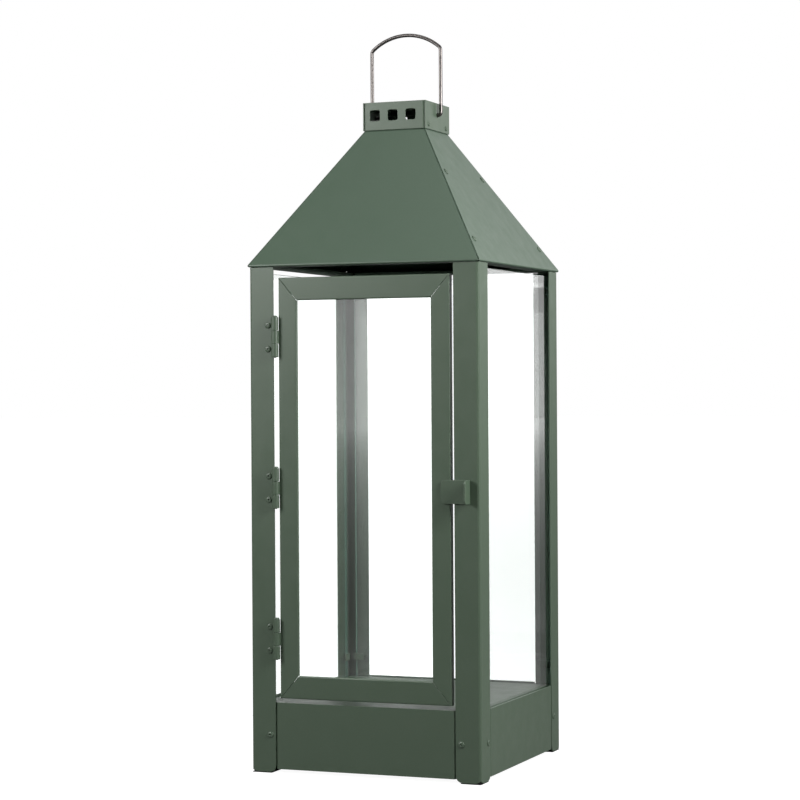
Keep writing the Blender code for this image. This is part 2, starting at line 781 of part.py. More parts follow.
def build_door_frame():
    middle_x = (DOOR_LEFT + DOOR_RIGHT) / 2
    half_width = (DOOR_RIGHT - DOOR_LEFT) / 2
    half_height = (DOOR_TOP - DOOR_BOTTOM) / 2
    front = -HALF
    rail_mitre = STILE_WIDTH / RAIL_WIDTH
    build_door_rail(
        "door_rail_top", RAIL_WIDTH, rail_mitre, half_width,
        lambda p, along: (middle_x + along, front + p.y, DOOR_TOP - p.x),
    )
    build_door_rail(
        "door_rail_bottom", RAIL_WIDTH, rail_mitre, half_width,
        lambda p, along: (middle_x + along, front + p.y, DOOR_BOTTOM + p.x),
    )
    build_door_rail(
        "door_stile_hinge", STILE_WIDTH, 1 / rail_mitre, half_height,
        lambda p, along: (DOOR_LEFT + p.x, front + p.y, DOOR_MIDDLE + along),
    )
    build_door_rail(
        "door_stile_latch", STILE_WIDTH, 1 / rail_mitre, half_height,
        lambda p, along: (DOOR_RIGHT - p.x, front + p.y, DOOR_MIDDLE + along),
    )


def build_pane(name, low, high, origin=(0, 0, 0)):
    """A sheet of glass with its front and back edges slightly eased."""
    bm = bmesh.new()
    add_box(bm, low, high)
    bmesh.ops.bevel(bm, geom=bm.edges[:], offset=GLASS_EASED, segments=1, affect="EDGES")
    return add_object(name, bm, GLASS_LOOK, origin=origin)


def build_door_glass():
    inset = DOOR_SHEET + GLASS_EDGE_CLEARANCE
    front = -HALF + DOOR_HEM + SEAT
    low = (DOOR_LEFT + inset, front, DOOR_BOTTOM + inset)
    high = (DOOR_RIGHT - inset, front + GLASS, DOOR_TOP - inset)
    build_pane("door_glass", low, high, origin=(AXIS_X, AXIS_Y, DOOR_MIDDLE))


def build_fixed_glass(side):
    place = side_place(side)
    low = place(-PANE_HALF, PANE_OUTER - GLASS, PANE_BOTTOM)
    high = place(PANE_HALF, PANE_OUTER, PANE_TOP)
    corners = list(zip(low, high))
    build_pane("glass_" + side, [min(c) for c in corners], [max(c) for c in corners])


def build_pull():
    """A folded plate on the latch stile: it laps the post as a stop and turns forward as a grip."""
    right = POST_INNER + PULL_OVERLAP
    back = -HALF - SEAT
    tip = back - PULL_DEPTH - PULL_SHEET
    left = right - PULL_WIDTH
    middle = DOOR_MIDDLE - PULL_DROP
    stops = rounding_stops(PULL_RADIUS)
    outline = [(right, tip)]
    outline += [(right, tip + stop) for stop in stops]
    outline += [(right, back)]
    outline += [(left + stop, back) for stop in stops[::-1]]
    outline += [(left, back)]

    def ends(point):
        edge = min(point.x - left, point.y - tip)
        half = PULL_HEIGHT / 2 - corner_height(edge, PULL_RADIUS)
        return middle - half, middle + half

    bm = bmesh.new()
    folded_sheet(bm, outline, PULL_SHEET, lambda p, up: (p.x, p.y, up), ends, radius=PULL_SHEET)
    add_object("door_pull", bm, GREEN, origin=(AXIS_X, AXIS_Y, DOOR_MIDDLE))


def build_catch():
    """A magnet behind the latch stile, on a bracket fixed to the post."""
    middle = DOOR_MIDDLE - PULL_DROP
    width, depth, height = MAGNET_SIZE
    face = -HALF + DOOR_DEPTH + SEAM
    right = DOOR_RIGHT - MAGNET_INSET
    plate = face + depth + SEAT
    bm = bmesh.new()
    add_box(bm, (right - width, face, middle - height / 2), (right, face + depth, middle + height / 2))
    bmesh.ops.bevel(bm, geom=bm.edges[:], offset=MAGNET_EDGE, segments=1, affect="EDGES")
    add_object("catch_magnet", bm, MAGNET)

    fold = POST_INNER + CATCH_INSET
    outline = [(fold + CATCH_FOOT, LEAF_BACK), (fold, LEAF_BACK), (fold, plate), (right - width, plate)]
    bracket = bmesh.new()
    folded_sheet(
        bracket,
        [(x, -y) for x, y in outline],
        SHEET,
        lambda p, up: (p.x, -p.y, up),
        lambda p: (middle - height / 2, middle + height / 2),
    )
    add_object("catch_bracket", bracket, GREEN)


# Hinges


def hinge_heights():
    return [DOOR_MIDDLE + i * HINGE_SPACING for i in (1, 0, -1)]


def knuckle_spans(middle):
    """Lower, middle and upper knuckle of one hinge."""
    length = (HINGE_LENGTH - 2 * SEAM) / 3
    bottom = middle - HINGE_LENGTH / 2
    return [(bottom + i * (length + SEAM), bottom + i * (length + SEAM) + length) for i in range(3)]


def on_hinge_axis(a, b, up):
    return (AXIS_X + a, AXIS_Y + b, up)


def build_leaf(name, middle, arm, arm_back, plate, knuckles, origin):
    """A leaf with its knuckles: arm is the sheet's span across the door gap, from the barrel back to
    arm_back, and plate holds the corners in plan of the part that is fixed."""
    bottom = middle - HINGE_LENGTH / 2
    top = middle + HINGE_LENGTH / 2
    bm = bmesh.new()
    add_box(bm, (*plate[0], bottom), (*plate[1], top))
    leaf = add_object(name, bm, GREEN, origin=origin)
    web = bmesh.new()
    add_box(web, (arm[0], BARREL_BACK, bottom), (arm[1], arm_back, top))
    combine(leaf, add_object(name + "_web", web, GREEN, guide=True), "UNION")
    for i, (low, high) in enumerate(knuckles):
        reach = bmesh.new()
        add_box(reach, (arm[0], AXIS_Y, low), (arm[1], arm_back, high))
        combine(leaf, add_object(f"{name}_arm_{i}", reach, GREEN, guide=True), "UNION")
        barrel = bmesh.new()
        add_turned(barrel, cylinder_profile(BARREL_DIAMETER / 2, low, high), BARREL_SIDES, on_hinge_axis)
        combine(leaf, add_object(f"{name}_barrel_{i}", barrel, GREEN, guide=True), "UNION")
    bore = bmesh.new()
    radius = PIN_DIAMETER / 2 + HOLE_CLEARANCE
    profile = cylinder_profile(radius, bottom - CUT_PAST, top + CUT_PAST)
    add_turned(bore, profile, PIN_SIDES, on_hinge_axis)
    combine(leaf, add_object(name + "_bore", bore, GREEN, guide=True), "DIFFERENCE")
    return leaf


def build_pin(name, middle):
    radius = PIN_DIAMETER / 2
    bottom = middle - HINGE_LENGTH / 2
    seat = middle + HINGE_LENGTH / 2 + SEAT
    head = PIN_HEAD_SHARE * BARREL_DIAMETER / 2
    profile = [
        (0, bottom - PIN_TIP),
        (radius - PIN_TIP, bottom - PIN_TIP),
        (radius, bottom),
        (radius, seat),
        (head, seat),
        (head, seat + PIN_HEAD_HEIGHT / 2),
        (head - PIN_HEAD_HEIGHT / 2, seat + PIN_HEAD_HEIGHT),
        (0, seat + PIN_HEAD_HEIGHT),
    ]
    bm = bmesh.new()
    add_turned(bm, profile, PIN_SIDES, on_hinge_axis)
    add_object(name, bm, STEEL, origin=(AXIS_X, AXIS_Y, middle))


def build_hinge(label, middle):
    lower, centre, upper = knuckle_spans(middle)
    post_side = -POST_INNER + SEAT
    post_arm = (post_side, post_side + LEAF)
    post_plate = ((-POST_INNER - LEAF_WIDTH, LEAF_BACK), (post_arm[1], LEAF_BACK + LEAF))
    post_leaf = build_leaf(
        f"hinge_{label}_post_leaf",
        middle,
        post_arm,
        LEAF_BACK + LEAF,
        post_plate,
        (lower, upper),
        (0, 0, middle),
    )
    door_side = DOOR_LEFT - SEAT
    door_arm = (door_side - LEAF, door_side)
    leaf_end = -HALF + DOOR_DEPTH - LEAF_BACK_GAP
    door_plate = ((door_arm[0], BARREL_BACK), (door_arm[1], leaf_end))
    build_leaf(
        f"hinge_{label}_door_leaf",
        middle,
        door_arm,
        leaf_end,
        door_plate,
        (centre,),
        (AXIS_X, AXIS_Y, middle),
    )
    build_pin(f"hinge_{label}_pin", middle)
    return post_leaf


def build_hinges():
    """Three hinges, each riveted through the front flange of the hinge-side post; gives its holes."""
    along = -POST_INNER - HINGE_RIVET_INSET
    grip = SHEET + SEAT + LEAF
    post_holes = []
    for label, middle in zip(("top", "middle", "bottom"), hinge_heights()):
        leaf = build_hinge(label, middle)
        holes = []
        for row, step in (("a", 0.5), ("b", -0.5)):
            up = middle + step * HINGE_RIVET_SPACING
            holes.append(("front", along, up))
            build_rivet(f"rivet_hinge_{label}_{row}", along, up, "front", grip)
        drill(leaf, f"hinge_{label}_drill", holes)
        post_holes += holes
    return post_holes


# Assembly

POSTS = (
    ("post_front_left", -1, -1, "x"),
    ("post_front_right", 1, -1, "x"),
    ("post_back_left", -1, 1, "xy"),
    ("post_back_right", 1, 1, "xy"),
)
BASE_RIVETS = {
    "post_front_left": (("front", -1), ("left", 1)),
    "post_front_right": (("front", 1), ("right", -1)),
    "post_back_left": (("back", 1), ("left", -1)),
    "post_back_right": (("back", -1), ("right", 1)),
}


def main():
    clear_scene()
    posts = {}
    for name, sx, sy, glazed in POSTS:
        posts[name] = build_post(name, sx, sy, glazed)
        build_foot(name.replace("post", "foot"), sx, sy)
    panels = {side: build_base_panel(side) for side in SIDES}
    build_tray("floor_tray", FLOOR_HALF, FLOOR_TOP, FLOOR_SKIRT, SHEET, GREEN)
    for side in SIDES:
        build_roof_panel(side)
    for side in ("front", "back"):
        build_chimney_face(side)
    for side in ("right", "left"):
        build_chimney_side(side)
    cap_half = neck_outer() - ROOF_SHEET - SEAT
    build_tray("chimney_cap", cap_half, CHIMNEY_TOP - SEAM, CAP_SKIRT, ROOF_SHEET, GREEN)
    build_handle()
    build_door_frame()
    build_door_glass()
    build_pull()
    build_catch()
    for side in ("right", "back", "left"):
        build_fixed_glass(side)

    holes = {name: [] for name in posts}
    holes["post_front_left"] += build_hinges()
    panel_holes = {side: [] for side in SIDES}
    along = POST_INNER + HINGE_RIVET_INSET
    for name, places in BASE_RIVETS.items():
        for side, hand in places:
            hole = (side, hand * along, BASE_RIVET_HEIGHT)
            holes[name].append(hole)
            panel_holes[side].append(hole)
            label = name.replace("post", "rivet") + "_" + side
            build_rivet(label, hole[1], hole[2], side, 2 * SHEET + SEAT)
    for name, post in posts.items():
        drill(post, name + "_drill", holes[name])
    for side, panel in panels.items():
        drill(panel, "base_panel_" + side + "_drill", panel_holes[side])


main()
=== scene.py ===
"""Looks of the candle lantern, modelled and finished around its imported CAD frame.

The file is laid out as an add-on: property groups hold the sizes and colours that a user would change,
one operator makes each group of like pieces, and a panel in the 3D view's sidebar lists them.
"""

import json
import math

import bmesh
import bpy
from bpy.props import FloatProperty, FloatVectorProperty, IntProperty, PointerProperty
from bpy.types import Operator, Panel, PropertyGroup
from mathutils import Matrix, Vector


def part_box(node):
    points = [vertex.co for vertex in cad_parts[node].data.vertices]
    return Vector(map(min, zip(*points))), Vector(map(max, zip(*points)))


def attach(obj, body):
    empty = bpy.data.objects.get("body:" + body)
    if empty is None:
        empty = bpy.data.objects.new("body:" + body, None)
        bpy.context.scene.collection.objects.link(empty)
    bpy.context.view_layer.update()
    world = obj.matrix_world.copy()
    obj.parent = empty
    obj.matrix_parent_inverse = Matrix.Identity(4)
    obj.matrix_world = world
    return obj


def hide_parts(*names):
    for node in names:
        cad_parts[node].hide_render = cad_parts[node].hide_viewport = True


bl_info = {
    "name": "Candle Lantern",
    "version": (1, 0, 0),
    "blender": (4, 5, 0),
    "location": "3D View > Sidebar > Lantern",
    "description": "Finishes a folded sheet-metal candle lantern with coat, rivets, hinges, glass and studio",
    "category": "Object",
}

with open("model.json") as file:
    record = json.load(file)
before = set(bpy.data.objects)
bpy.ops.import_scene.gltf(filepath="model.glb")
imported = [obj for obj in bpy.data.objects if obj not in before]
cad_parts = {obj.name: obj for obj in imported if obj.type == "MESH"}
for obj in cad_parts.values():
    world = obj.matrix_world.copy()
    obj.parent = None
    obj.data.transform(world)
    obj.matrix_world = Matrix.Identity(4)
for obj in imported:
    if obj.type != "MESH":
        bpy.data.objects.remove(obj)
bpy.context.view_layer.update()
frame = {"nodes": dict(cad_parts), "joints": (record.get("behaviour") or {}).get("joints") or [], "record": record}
NODES = frame["nodes"]
BODY_OF = {node: body for body, members in frame["record"]["behaviour"]["bodies"].items() for node in members}
SLOT_OF = {part["node"]: part["material_slot"] for part in frame["record"]["subparts"]}
JOINTS = {joint["name"]: joint for joint in frame["joints"]}

SIDES = ("front", "right", "back", "left")
MM = 0.001
TINY = 0.02 * MM  # places closer than this are the same
MERGE = 0.002 * MM
CUT_ANGLE = math.radians(50)  # edges sharper than this are cut edges and get eased


# Sizes read from the frame, measured from the body's own vertical axis

FLOOR_MOUNT = next(mount for mount in frame["record"]["mounts"] if mount["name"] == "candle_floor")
BODY_AXIS = Vector((0, FLOOR_MOUNT["pos_m"][1], 0))


def box_of(node):
    low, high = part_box(node)
    return low - BODY_AXIS, high - BODY_AXIS


def joint_place(name):
    return Vector(JOINTS[name]["pos_m"]) - BODY_AXIS


def size_of(node, axis):
    low, high = box_of(node)
    return (high - low)[axis]


def middle_of(node):
    low, high = box_of(node)
    return (low + high) / 2


WALL_HALF = -box_of("post_front_right")[0].y
POST_INNER = box_of("post_front_right")[0].x
STANDING_HEIGHT = box_of("handle")[1].z
EAVE_HEIGHT = box_of("roof_panel_front")[0].z
CHIMNEY_HALF = box_of("chimney_right")[1].x
CHIMNEY_BOTTOM = box_of("chimney_right")[0].z
SHEET = 1.2 * MM  # posts and base
THIN_SHEET = 1.0 * MM  # roof, chimney and door
SEAT = 0.3 * MM  # between sheets that rest on each other
DOOR_FLANGE = 11 * MM
DOOR_HEM = 3.2 * MM
DOOR_BEND = 1.2 * MM  # outer radius of the door's folds
MITRE_GAP = 0.5 * MM
EAVE_FLANGE = 20 * MM
EAVE_LIP = 4 * MM
EAVE_CORNER = WALL_HALF + 2.8 * MM  # sharp corner of the eave, which its fold rounds off
ROOF_NECK = CHIMNEY_HALF - THIN_SHEET - SEAT
ROOF_BEND = 1.8 * MM  # outer radius of the roof's folds
RIDGE_GAP = 0.9 * MM  # the front and back panels stop this far from the ridges
ROOF_STRIP = 16 * MM
STRIP_INSET = 12 * MM
STRIP_START = 0.5 * MM  # a strip starts this far from its ridge
NECK_LIP = 5 * MM
NECK_LIP_FROM = 1 * MM  # what lies this far above the neck's fold is the lip
NECK_LIP_SHARE = 0.9  # of the lip's width is kept, to clear the chimney's corners
NECK_HEIGHT = box_of("roof_panel_front")[1].z - NECK_LIP
BARREL_DIAMETER = 6.8 * MM
LEAF = 1.0 * MM
LEAF_BEND = 0.8 * MM
LEAF_EASED = 0.12 * MM
PIN_DIAMETER = 3.0 * MM
PIN_HEAD = 1.2 * MM
PIN_TIP = 0.4 * MM
KNUCKLE_GAP = 0.25 * MM
EASED = 0.25 * MM
SHEET_EASED = 0.14 * MM
PULL_SHEET = 1.5 * MM
PULL_BEND = 2.2 * MM
PULL_ROUND = 4 * MM
PANE_EASED = 0.35 * MM
ROOF_RIVET_LOW = 0.520  # heights above the ground
ROOF_RIVET_HIGH = 0.590
ROOF_RIVET_INSET = 10 * MM
CHIMNEY_RIVET_OUT = 24.2 * MM
CHIMNEY_RIVET_UP = 5 * MM
CHIMNEY_RIVET_SHARE = 0.8  # of the other rivets' size
RIVET_SHANK = 1.6 * MM  # radii
RIVET_TAIL = 2.2 * MM
RIVET_PIT = 0.9 * MM
RIVET_PIT_LIP = 0.08 * MM
RIVET_RISE = 1.15 * MM
RIVET_PIT_DEPTH = 0.75 * MM
RIVET_RIM = 0.22 * MM
RIVET_GRIP = 2.7 * MM
RIVET_DOME_STEPS = 7
HANDLE_LEG = 68 * MM  # from the pivot up to the bend
HANDLE_BEND = 5 * MM
HANDLE_HOOK = 3 * MM
HANDLE_BEND_STEPS = 8
HANDLE_ARCH_STEPS = 40
COAT_EDGE = 0.45 * MM  # how far the coat rounds the sheets' edges, and how wide their lighter band of thin coat and painted highlight is


class LanternSizes(PropertyGroup):
    """Sizes of the visible detail; everything else follows from the frame."""

    wire_diameter: FloatProperty(
        name="Handle wire", description="Diameter of the handle's wire",
        default=size_of("handle", 1), min=1 * MM, unit="LENGTH",
    )
    wire_segments: IntProperty(
        name="Wire segments", description="Faces around the handle's wire", default=24, min=8,
    )
    rivet_segments: IntProperty(
        name="Rivet segments", description="Faces around each rivet", default=32, min=12,
    )
    rivet_head: FloatProperty(
        name="Rivet head", description="Diameter of a rivet's domed head",
        default=size_of("rivet_hinge_top_a", 0), min=2 * MM, unit="LENGTH",
    )


class LanternFinish(PropertyGroup):
    """Colours and surface values of the finishes."""

    coat_colour: FloatVectorProperty(
        name="Coat colour", description="Colour of the powder coat on all sheet metal",
        default=(0.062, 0.092, 0.061), subtype="COLOR", min=0, max=1,
    )
    roof_colour: FloatVectorProperty(
        name="Roof colour", description="The roof's coat, a shade cooler and greener",
        default=(0.058, 0.091, 0.062), subtype="COLOR", min=0, max=1,
    )
    coat_roughness: FloatProperty(
        name="Coat roughness", description="Roughness of the satin powder coat",
        default=0.40, min=0, max=1, subtype="FACTOR",
    )
    wire_colour: FloatVectorProperty(
        name="Wire colour", description="Colour of the stainless wire and hinge pins",
        default=(0.13, 0.12, 0.115), subtype="COLOR", min=0, max=1,
    )
    glass_haze: FloatProperty(
        name="Glass haze", description="Share of light that each face of a pane mirrors at any angle",
        default=0.01, min=0, max=1, subtype="FACTOR",
    )
    glass_edge_colour: FloatVectorProperty(
        name="Glass edge", description="Colour of a pane seen through its edges",
        default=(0.10, 0.19, 0.15), subtype="COLOR", min=0, max=1,
    )
    glide_colour: FloatVectorProperty(
        name="Glide colour", description="Colour of the moulded plastic glides",
        default=(0.012, 0.012, 0.013), subtype="COLOR", min=0, max=1,
    )
    magnet_colour: FloatVectorProperty(
        name="Magnet colour", description="Colour of the sintered magnet",
        default=(0.06, 0.06, 0.065), subtype="COLOR", min=0, max=1,
    )


def sizes():
    return bpy.context.scene.lantern_sizes


def finish():
    return bpy.context.scene.lantern_finish


# Shader building

class Shading:
    """A new material and short ways to add and link its nodes."""

    def __init__(self, name):
        self.material = bpy.data.materials.new(name)
        self.material.use_nodes = True
        self.tree = self.material.node_tree
        self.shader = self.tree.nodes["Principled BSDF"]
        self.output = self.tree.nodes["Material Output"]
        self.coords = self.tree.nodes.new("ShaderNodeTexCoord").outputs["Object"]

    def add(self, kind, **values):
        node = self.tree.nodes.new(kind)
        for key, value in values.items():
            setattr(node, key, value)
        return node

    def link(self, source, target):
        self.tree.links.new(source, target)

    def feed(self, node, name, value):
        """Link a socket or set a constant on one of a node's inputs."""
        if isinstance(value, bpy.types.NodeSocket):
            self.link(value, node.inputs[name])
        else:
            node.inputs[name].default_value = value

    def stretched(self, scale):
        node = self.add("ShaderNodeMapping")
        self.link(self.coords, node.inputs["Vector"])
        node.inputs["Scale"].default_value = scale
        return node.outputs["Vector"]

    def noise(self, scale, detail=2.0, roughness=0.5, coords=None):
        node = self.add("ShaderNodeTexNoise")
        self.link(coords or self.coords, node.inputs["Vector"])
        node.inputs["Scale"].default_value = scale
        node.inputs["Detail"].default_value = detail
        node.inputs["Roughness"].default_value = roughness
        return node.outputs["Fac"]

    def cells(self, scale, coords=None):
        node = self.add("ShaderNodeTexVoronoi")
        self.link(coords or self.coords, node.inputs["Vector"])
        node.inputs["Scale"].default_value = scale
        return node.outputs["Distance"]

    def spread(self, value, low, high, start=0.0, end=1.0):
        """Map a value from the range start..end to low..high."""
        node = self.add("ShaderNodeMapRange")
        self.link(value, node.inputs["Value"])
        node.inputs["From Min"].default_value = start
        node.inputs["From Max"].default_value = end
        node.inputs["To Min"].default_value = low
        node.inputs["To Max"].default_value = high
        return node.outputs["Result"]

    def maths(self, operation, a, b=0.0):
        node = self.add("ShaderNodeMath", operation=operation)
        self.feed(node, 0, a)
        self.feed(node, 1, b)
        return node.outputs[0]

    def blend(self, share, first, second):
        node = self.add("ShaderNodeMix", data_type="RGBA")
        self.feed(node, 0, share)
        self.feed(node, 6, first)
        self.feed(node, 7, second)
        return node.outputs[2]

    def edges(self, radius):
        """The normal rounded over a radius at every edge, and a mask that is 1 on the sharpest edges."""
        bevel = self.add("ShaderNodeBevel", samples=6)
        bevel.inputs["Radius"].default_value = radius
        plain = self.add("ShaderNodeNewGeometry").outputs["True Normal"]
        turn = self.add("ShaderNodeVectorMath", operation="DOT_PRODUCT")
        self.link(bevel.outputs["Normal"], turn.inputs[0])
        self.link(plain, turn.inputs[1])
        return bevel.outputs["Normal"], self.spread(turn.outputs["Value"], 1.0, 0.0, 0.75, 0.99)

    def bumps(self, height, distance, strength, normal=None):
        node = self.add("ShaderNodeBump")
        self.link(height, node.inputs["Height"])
        node.inputs["Distance"].default_value = distance
        node.inputs["Strength"].default_value = strength
        if normal is not None:
            self.link(normal, node.inputs["Normal"])
        return node.outputs["Normal"]


def shade(colour, factor):
    return (*[min(channel * factor, 1.0) for channel in colour], 1.0)


def powder_coat(name, colour, roughness, edge_radius):
    """Satin powder coat: fine orange peel, pigment specks, cloudy gloss, and edges lighter for their thin coat and
    for a painted highlight.
    """
    look = Shading(name)
    clouds = look.noise(7.0, detail=3.0, roughness=0.55)
    specks = look.noise(1900.0, detail=1.0)
    body = look.blend(clouds, shade(colour, 0.95), shade(colour, 1.05))
    speckled = look.blend(look.spread(specks, 0.0, 0.35, 0.58, 0.72), body, shade(colour, 1.5))
    normal, edge = look.edges(edge_radius)
    # edges made lighter: partly the thinner coat there, partly a painted highlight of light caught on the edges
    worn_and_highlit = look.blend(look.maths("MULTIPLY", edge, 0.22), speckled, shade(colour, 1.9))
    look.feed(look.shader, "Base Color", worn_and_highlit)
    mottled = look.noise(60.0, detail=4.0, roughness=0.6)
    look.feed(look.shader, "Roughness", look.spread(mottled, roughness - 0.05, roughness + 0.05, 0.3, 0.7))
    peel = look.maths("ADD", look.noise(520.0, detail=2.0), look.maths("MULTIPLY", look.noise(1700.0), 0.5))
    look.feed(look.shader, "Normal", look.bumps(peel, 0.03 * MM, 0.35, normal))
    return look.material


def drawn_steel(name, colour, along=(1.0, 1.0, 0.02), roughness=0.32):
    """Drawn wire: fine lines along its length and a few darker handling marks."""
    look = Shading(name)
    lines = look.noise(2600.0, detail=2.0, coords=look.stretched(along))
    marks = look.noise(70.0, detail=3.0)
    look.feed(look.shader, "Base Color", look.blend(marks, shade(colour, 0.86), shade(colour, 1.05)))
    look.feed(look.shader, "Roughness", look.spread(lines, roughness - 0.05, roughness + 0.10, 0.3, 0.7))
    look.feed(look.shader, "Normal", look.bumps(lines, 0.01 * MM, 0.25))
    look.shader.inputs["Metallic"].default_value = 1.0
    return look.material


GLASS_IOR = 1.5


def clear_pane(name, haze):
    """Float glass faces: nearly clear, with a faint haze and slow waves in what they mirror."""
    look = Shading(name)
    dust = look.noise(24.0, detail=5.0, roughness=0.6)
    look.feed(look.shader, "Base Color", look.blend(dust, (0.97, 0.98, 0.975, 1.0), (1.0, 1.0, 1.0, 1.0)))
    look.feed(look.shader, "Normal", look.bumps(look.noise(9.0), 0.2 * MM, 0.15))
    look.shader.inputs["Roughness"].default_value = 0.0
    look.shader.inputs["Metallic"].default_value = 1.0
    clear = look.add("ShaderNodeBsdfTransparent")
    clear.inputs["Color"].default_value = (0.985, 0.995, 0.990, 1.0)
    inner = look.add("ShaderNodeNewGeometry").outputs["Backfacing"]
    fresnel = look.add("ShaderNodeFresnel")
    look.link(look.spread(inner, GLASS_IOR, 1 / GLASS_IOR), fresnel.inputs["IOR"])
    hazy = look.spread(dust, haze * 0.85, haze * 1.15, 0.3, 0.7)
    share = look.maths("ADD", hazy, fresnel.outputs[0])
    mixed = look.add("ShaderNodeMixShader")
    look.link(share, mixed.inputs[0])
    look.link(clear.outputs[0], mixed.inputs[1])
    look.link(look.shader.outputs[0], mixed.inputs[2])
    look.link(mixed.outputs[0], look.output.inputs["Surface"])
    return look.material


def polished_edge(name, colour):
    """Ground and polished glass edge, where the glass's own green gathers."""
    look = Shading(name)
    bands = look.noise(40.0, detail=3.0)
    look.feed(look.shader, "Base Color", look.blend(bands, shade(colour, 0.8), shade(colour, 1.4)))
    look.feed(look.shader, "Roughness", look.spread(look.noise(900.0), 0.12, 0.22))
    return look.material


def moulded_plastic(name, colour):
    """Matt black plastic with the fine grain of its mould."""
    look = Shading(name)
    grain = look.cells(1500.0)
    look.feed(look.shader, "Base Color", look.blend(look.noise(90.0), shade(colour, 0.8), shade(colour, 1.6)))
    look.feed(look.shader, "Roughness", look.spread(grain, 0.48, 0.62, 0.0, 0.6))
    look.feed(look.shader, "Normal", look.bumps(grain, 0.03 * MM, 0.4))
    return look.material


def sintered_magnet(name, colour):
    """Dark ferrite with pressed grains and slightly chipped, lighter edges."""
    look = Shading(name)
    grain = look.noise(2200.0, detail=4.0, roughness=0.7)
    normal, edge = look.edges(0.3 * MM)
    body = look.blend(grain, shade(colour, 0.7), shade(colour, 1.3))
    chipped = look.blend(look.maths("MULTIPLY", edge, 0.4), body, shade(colour, 2.5))
    look.feed(look.shader, "Base Color", chipped)
    look.feed(look.shader, "Roughness", look.spread(grain, 0.35, 0.55))
    look.feed(look.shader, "Normal", look.bumps(grain, 0.02 * MM, 0.4, normal))
    return look.material


def finished(slot):
    """The material of a record slot, made at its first use."""
    name = slot + "_finish"  # the frame has plain materials under the slots' own names
    found = bpy.data.materials.get(name)
    if found:
        return found
    values = finish()
    gloss = values.coat_roughness
    makers = {
        "moss_green_coat": lambda: powder_coat(name, values.coat_colour, gloss, COAT_EDGE),
        "moss_green_coat_roof": lambda: powder_coat(name, values.roof_colour, gloss, COAT_EDGE),
        "stainless_steel": lambda: drawn_steel(name, values.wire_colour),
        "clear_glass": lambda: clear_pane(name, values.glass_haze),
        "black_plastic": lambda: moulded_plastic(name, values.glide_colour),
        "magnet_ferrite": lambda: sintered_magnet(name, values.magnet_colour),
        "glass_edge": lambda: polished_edge(name, values.glass_edge_colour),
    }
    return makers[slot]()


# Modelling helpers

def deselect_everything():
    if bpy.context.object and bpy.context.object.mode != "OBJECT":
        bpy.ops.object.mode_set(mode="OBJECT")
    bpy.ops.object.select_all(action="DESELECT")


def begin(name):
    """Name the primitive that was just added and open it for editing."""
    obj = bpy.context.object
    obj.name = name
    obj.data.name = name
    bpy.ops.object.transform_apply(location=True, rotation=True, scale=True)
    bpy.ops.object.mode_set(mode="EDIT")
    return obj


def choose(kind, test):
    """Select the vertices, edges or faces whose middle (and normal) pass a test."""
    mesh = bmesh.from_edit_mesh(bpy.context.object.data)
    bpy.ops.mesh.select_mode(type=kind)
    bpy.ops.mesh.select_all(action="DESELECT")
    mesh.normal_update()
    if kind == "VERT":
        for v in mesh.verts:
            v.select_set(bool(test(v.co)))
    elif kind == "EDGE":
        for e in mesh.edges:
            e.select_set(bool(test((e.verts[0].co + e.verts[1].co) / 2, e)))
    else:
        for f in mesh.faces:
            f.select_set(bool(test(f.calc_center_median(), f)))
    mesh.select_flush_mode()
    bmesh.update_edit_mesh(bpy.context.object.data)


def close_editing():
    """Merge doubles, turn the faces outward and leave edit mode."""
    bpy.ops.mesh.select_mode(type="VERT")
    bpy.ops.mesh.select_all(action="SELECT")
    bpy.ops.mesh.remove_doubles(threshold=MERGE)
    bpy.ops.mesh.normals_make_consistent(inside=False)
    bpy.ops.object.mode_set(mode="OBJECT")


def modified(obj, kind, **values):
    """Add a modifier with the given values and apply it."""
    modifier = obj.modifiers.new(kind.lower(), kind)
    for key, value in values.items():
        setattr(modifier, key, value)
    bpy.context.view_layer.objects.active = obj
    bpy.ops.object.modifier_apply(modifier=modifier.name)


def complete(obj, slot, body, stands_for=(), smooth=35):
    """Set a modelled piece back to the body's axis, then shade, finish and attach it."""
    deselect_everything()
    obj.select_set(True)
    bpy.context.view_layer.objects.active = obj
    bpy.ops.object.transform_apply(location=True, rotation=True, scale=True)
    obj.data.transform(Matrix.Translation(BODY_AXIS))
    bpy.ops.object.shade_smooth_by_angle(angle=math.radians(smooth))
    modified(obj, "WEIGHTED_NORMAL", weight=100, keep_sharp=True)
    if not obj.data.materials:
        obj.data.materials.append(finished(slot))
    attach(obj, body)
    if stands_for:
        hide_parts(*stands_for)
    obj.select_set(False)
    return obj


def copied(obj, name, matrix):
    """A copy of a piece with its own mesh, moved in its mesh."""
    mesh = obj.data.copy()
    mesh.name = name
    mesh.transform(matrix)
    if matrix.determinant() < 0:
        mesh.flip_normals()
    twin = bpy.data.objects.new(name, mesh)
    bpy.context.scene.collection.objects.link(twin)
    return twin


def turned(name, profile, segments):
    """A turned piece along Z, ring by ring from the middle of its first end to its last."""
    deselect_everything()
    bpy.ops.mesh.primitive_circle_add(
        vertices=segments, radius=profile[0][0], fill_type="NGON", location=(0, 0, profile[0][1]),
    )
    obj = begin(name)
    bpy.ops.mesh.select_all(action="SELECT")
    for (near, low), (far, high) in zip(profile, profile[1:]):
        bpy.ops.mesh.extrude_region_move(TRANSFORM_OT_translate={"value": (0, 0, high - low)})
        share = far / near
        bpy.ops.transform.resize(value=(share, share, 1), center_override=(0, 0, high))
    close_editing()
    return obj


def join_pieces(pieces):
    """Join modelled parts into the first one."""
    deselect_everything()
    for part in pieces:
        part.select_set(True)
    bpy.context.view_layer.objects.active = pieces[0]
    bpy.ops.object.join()
    return pieces[0]


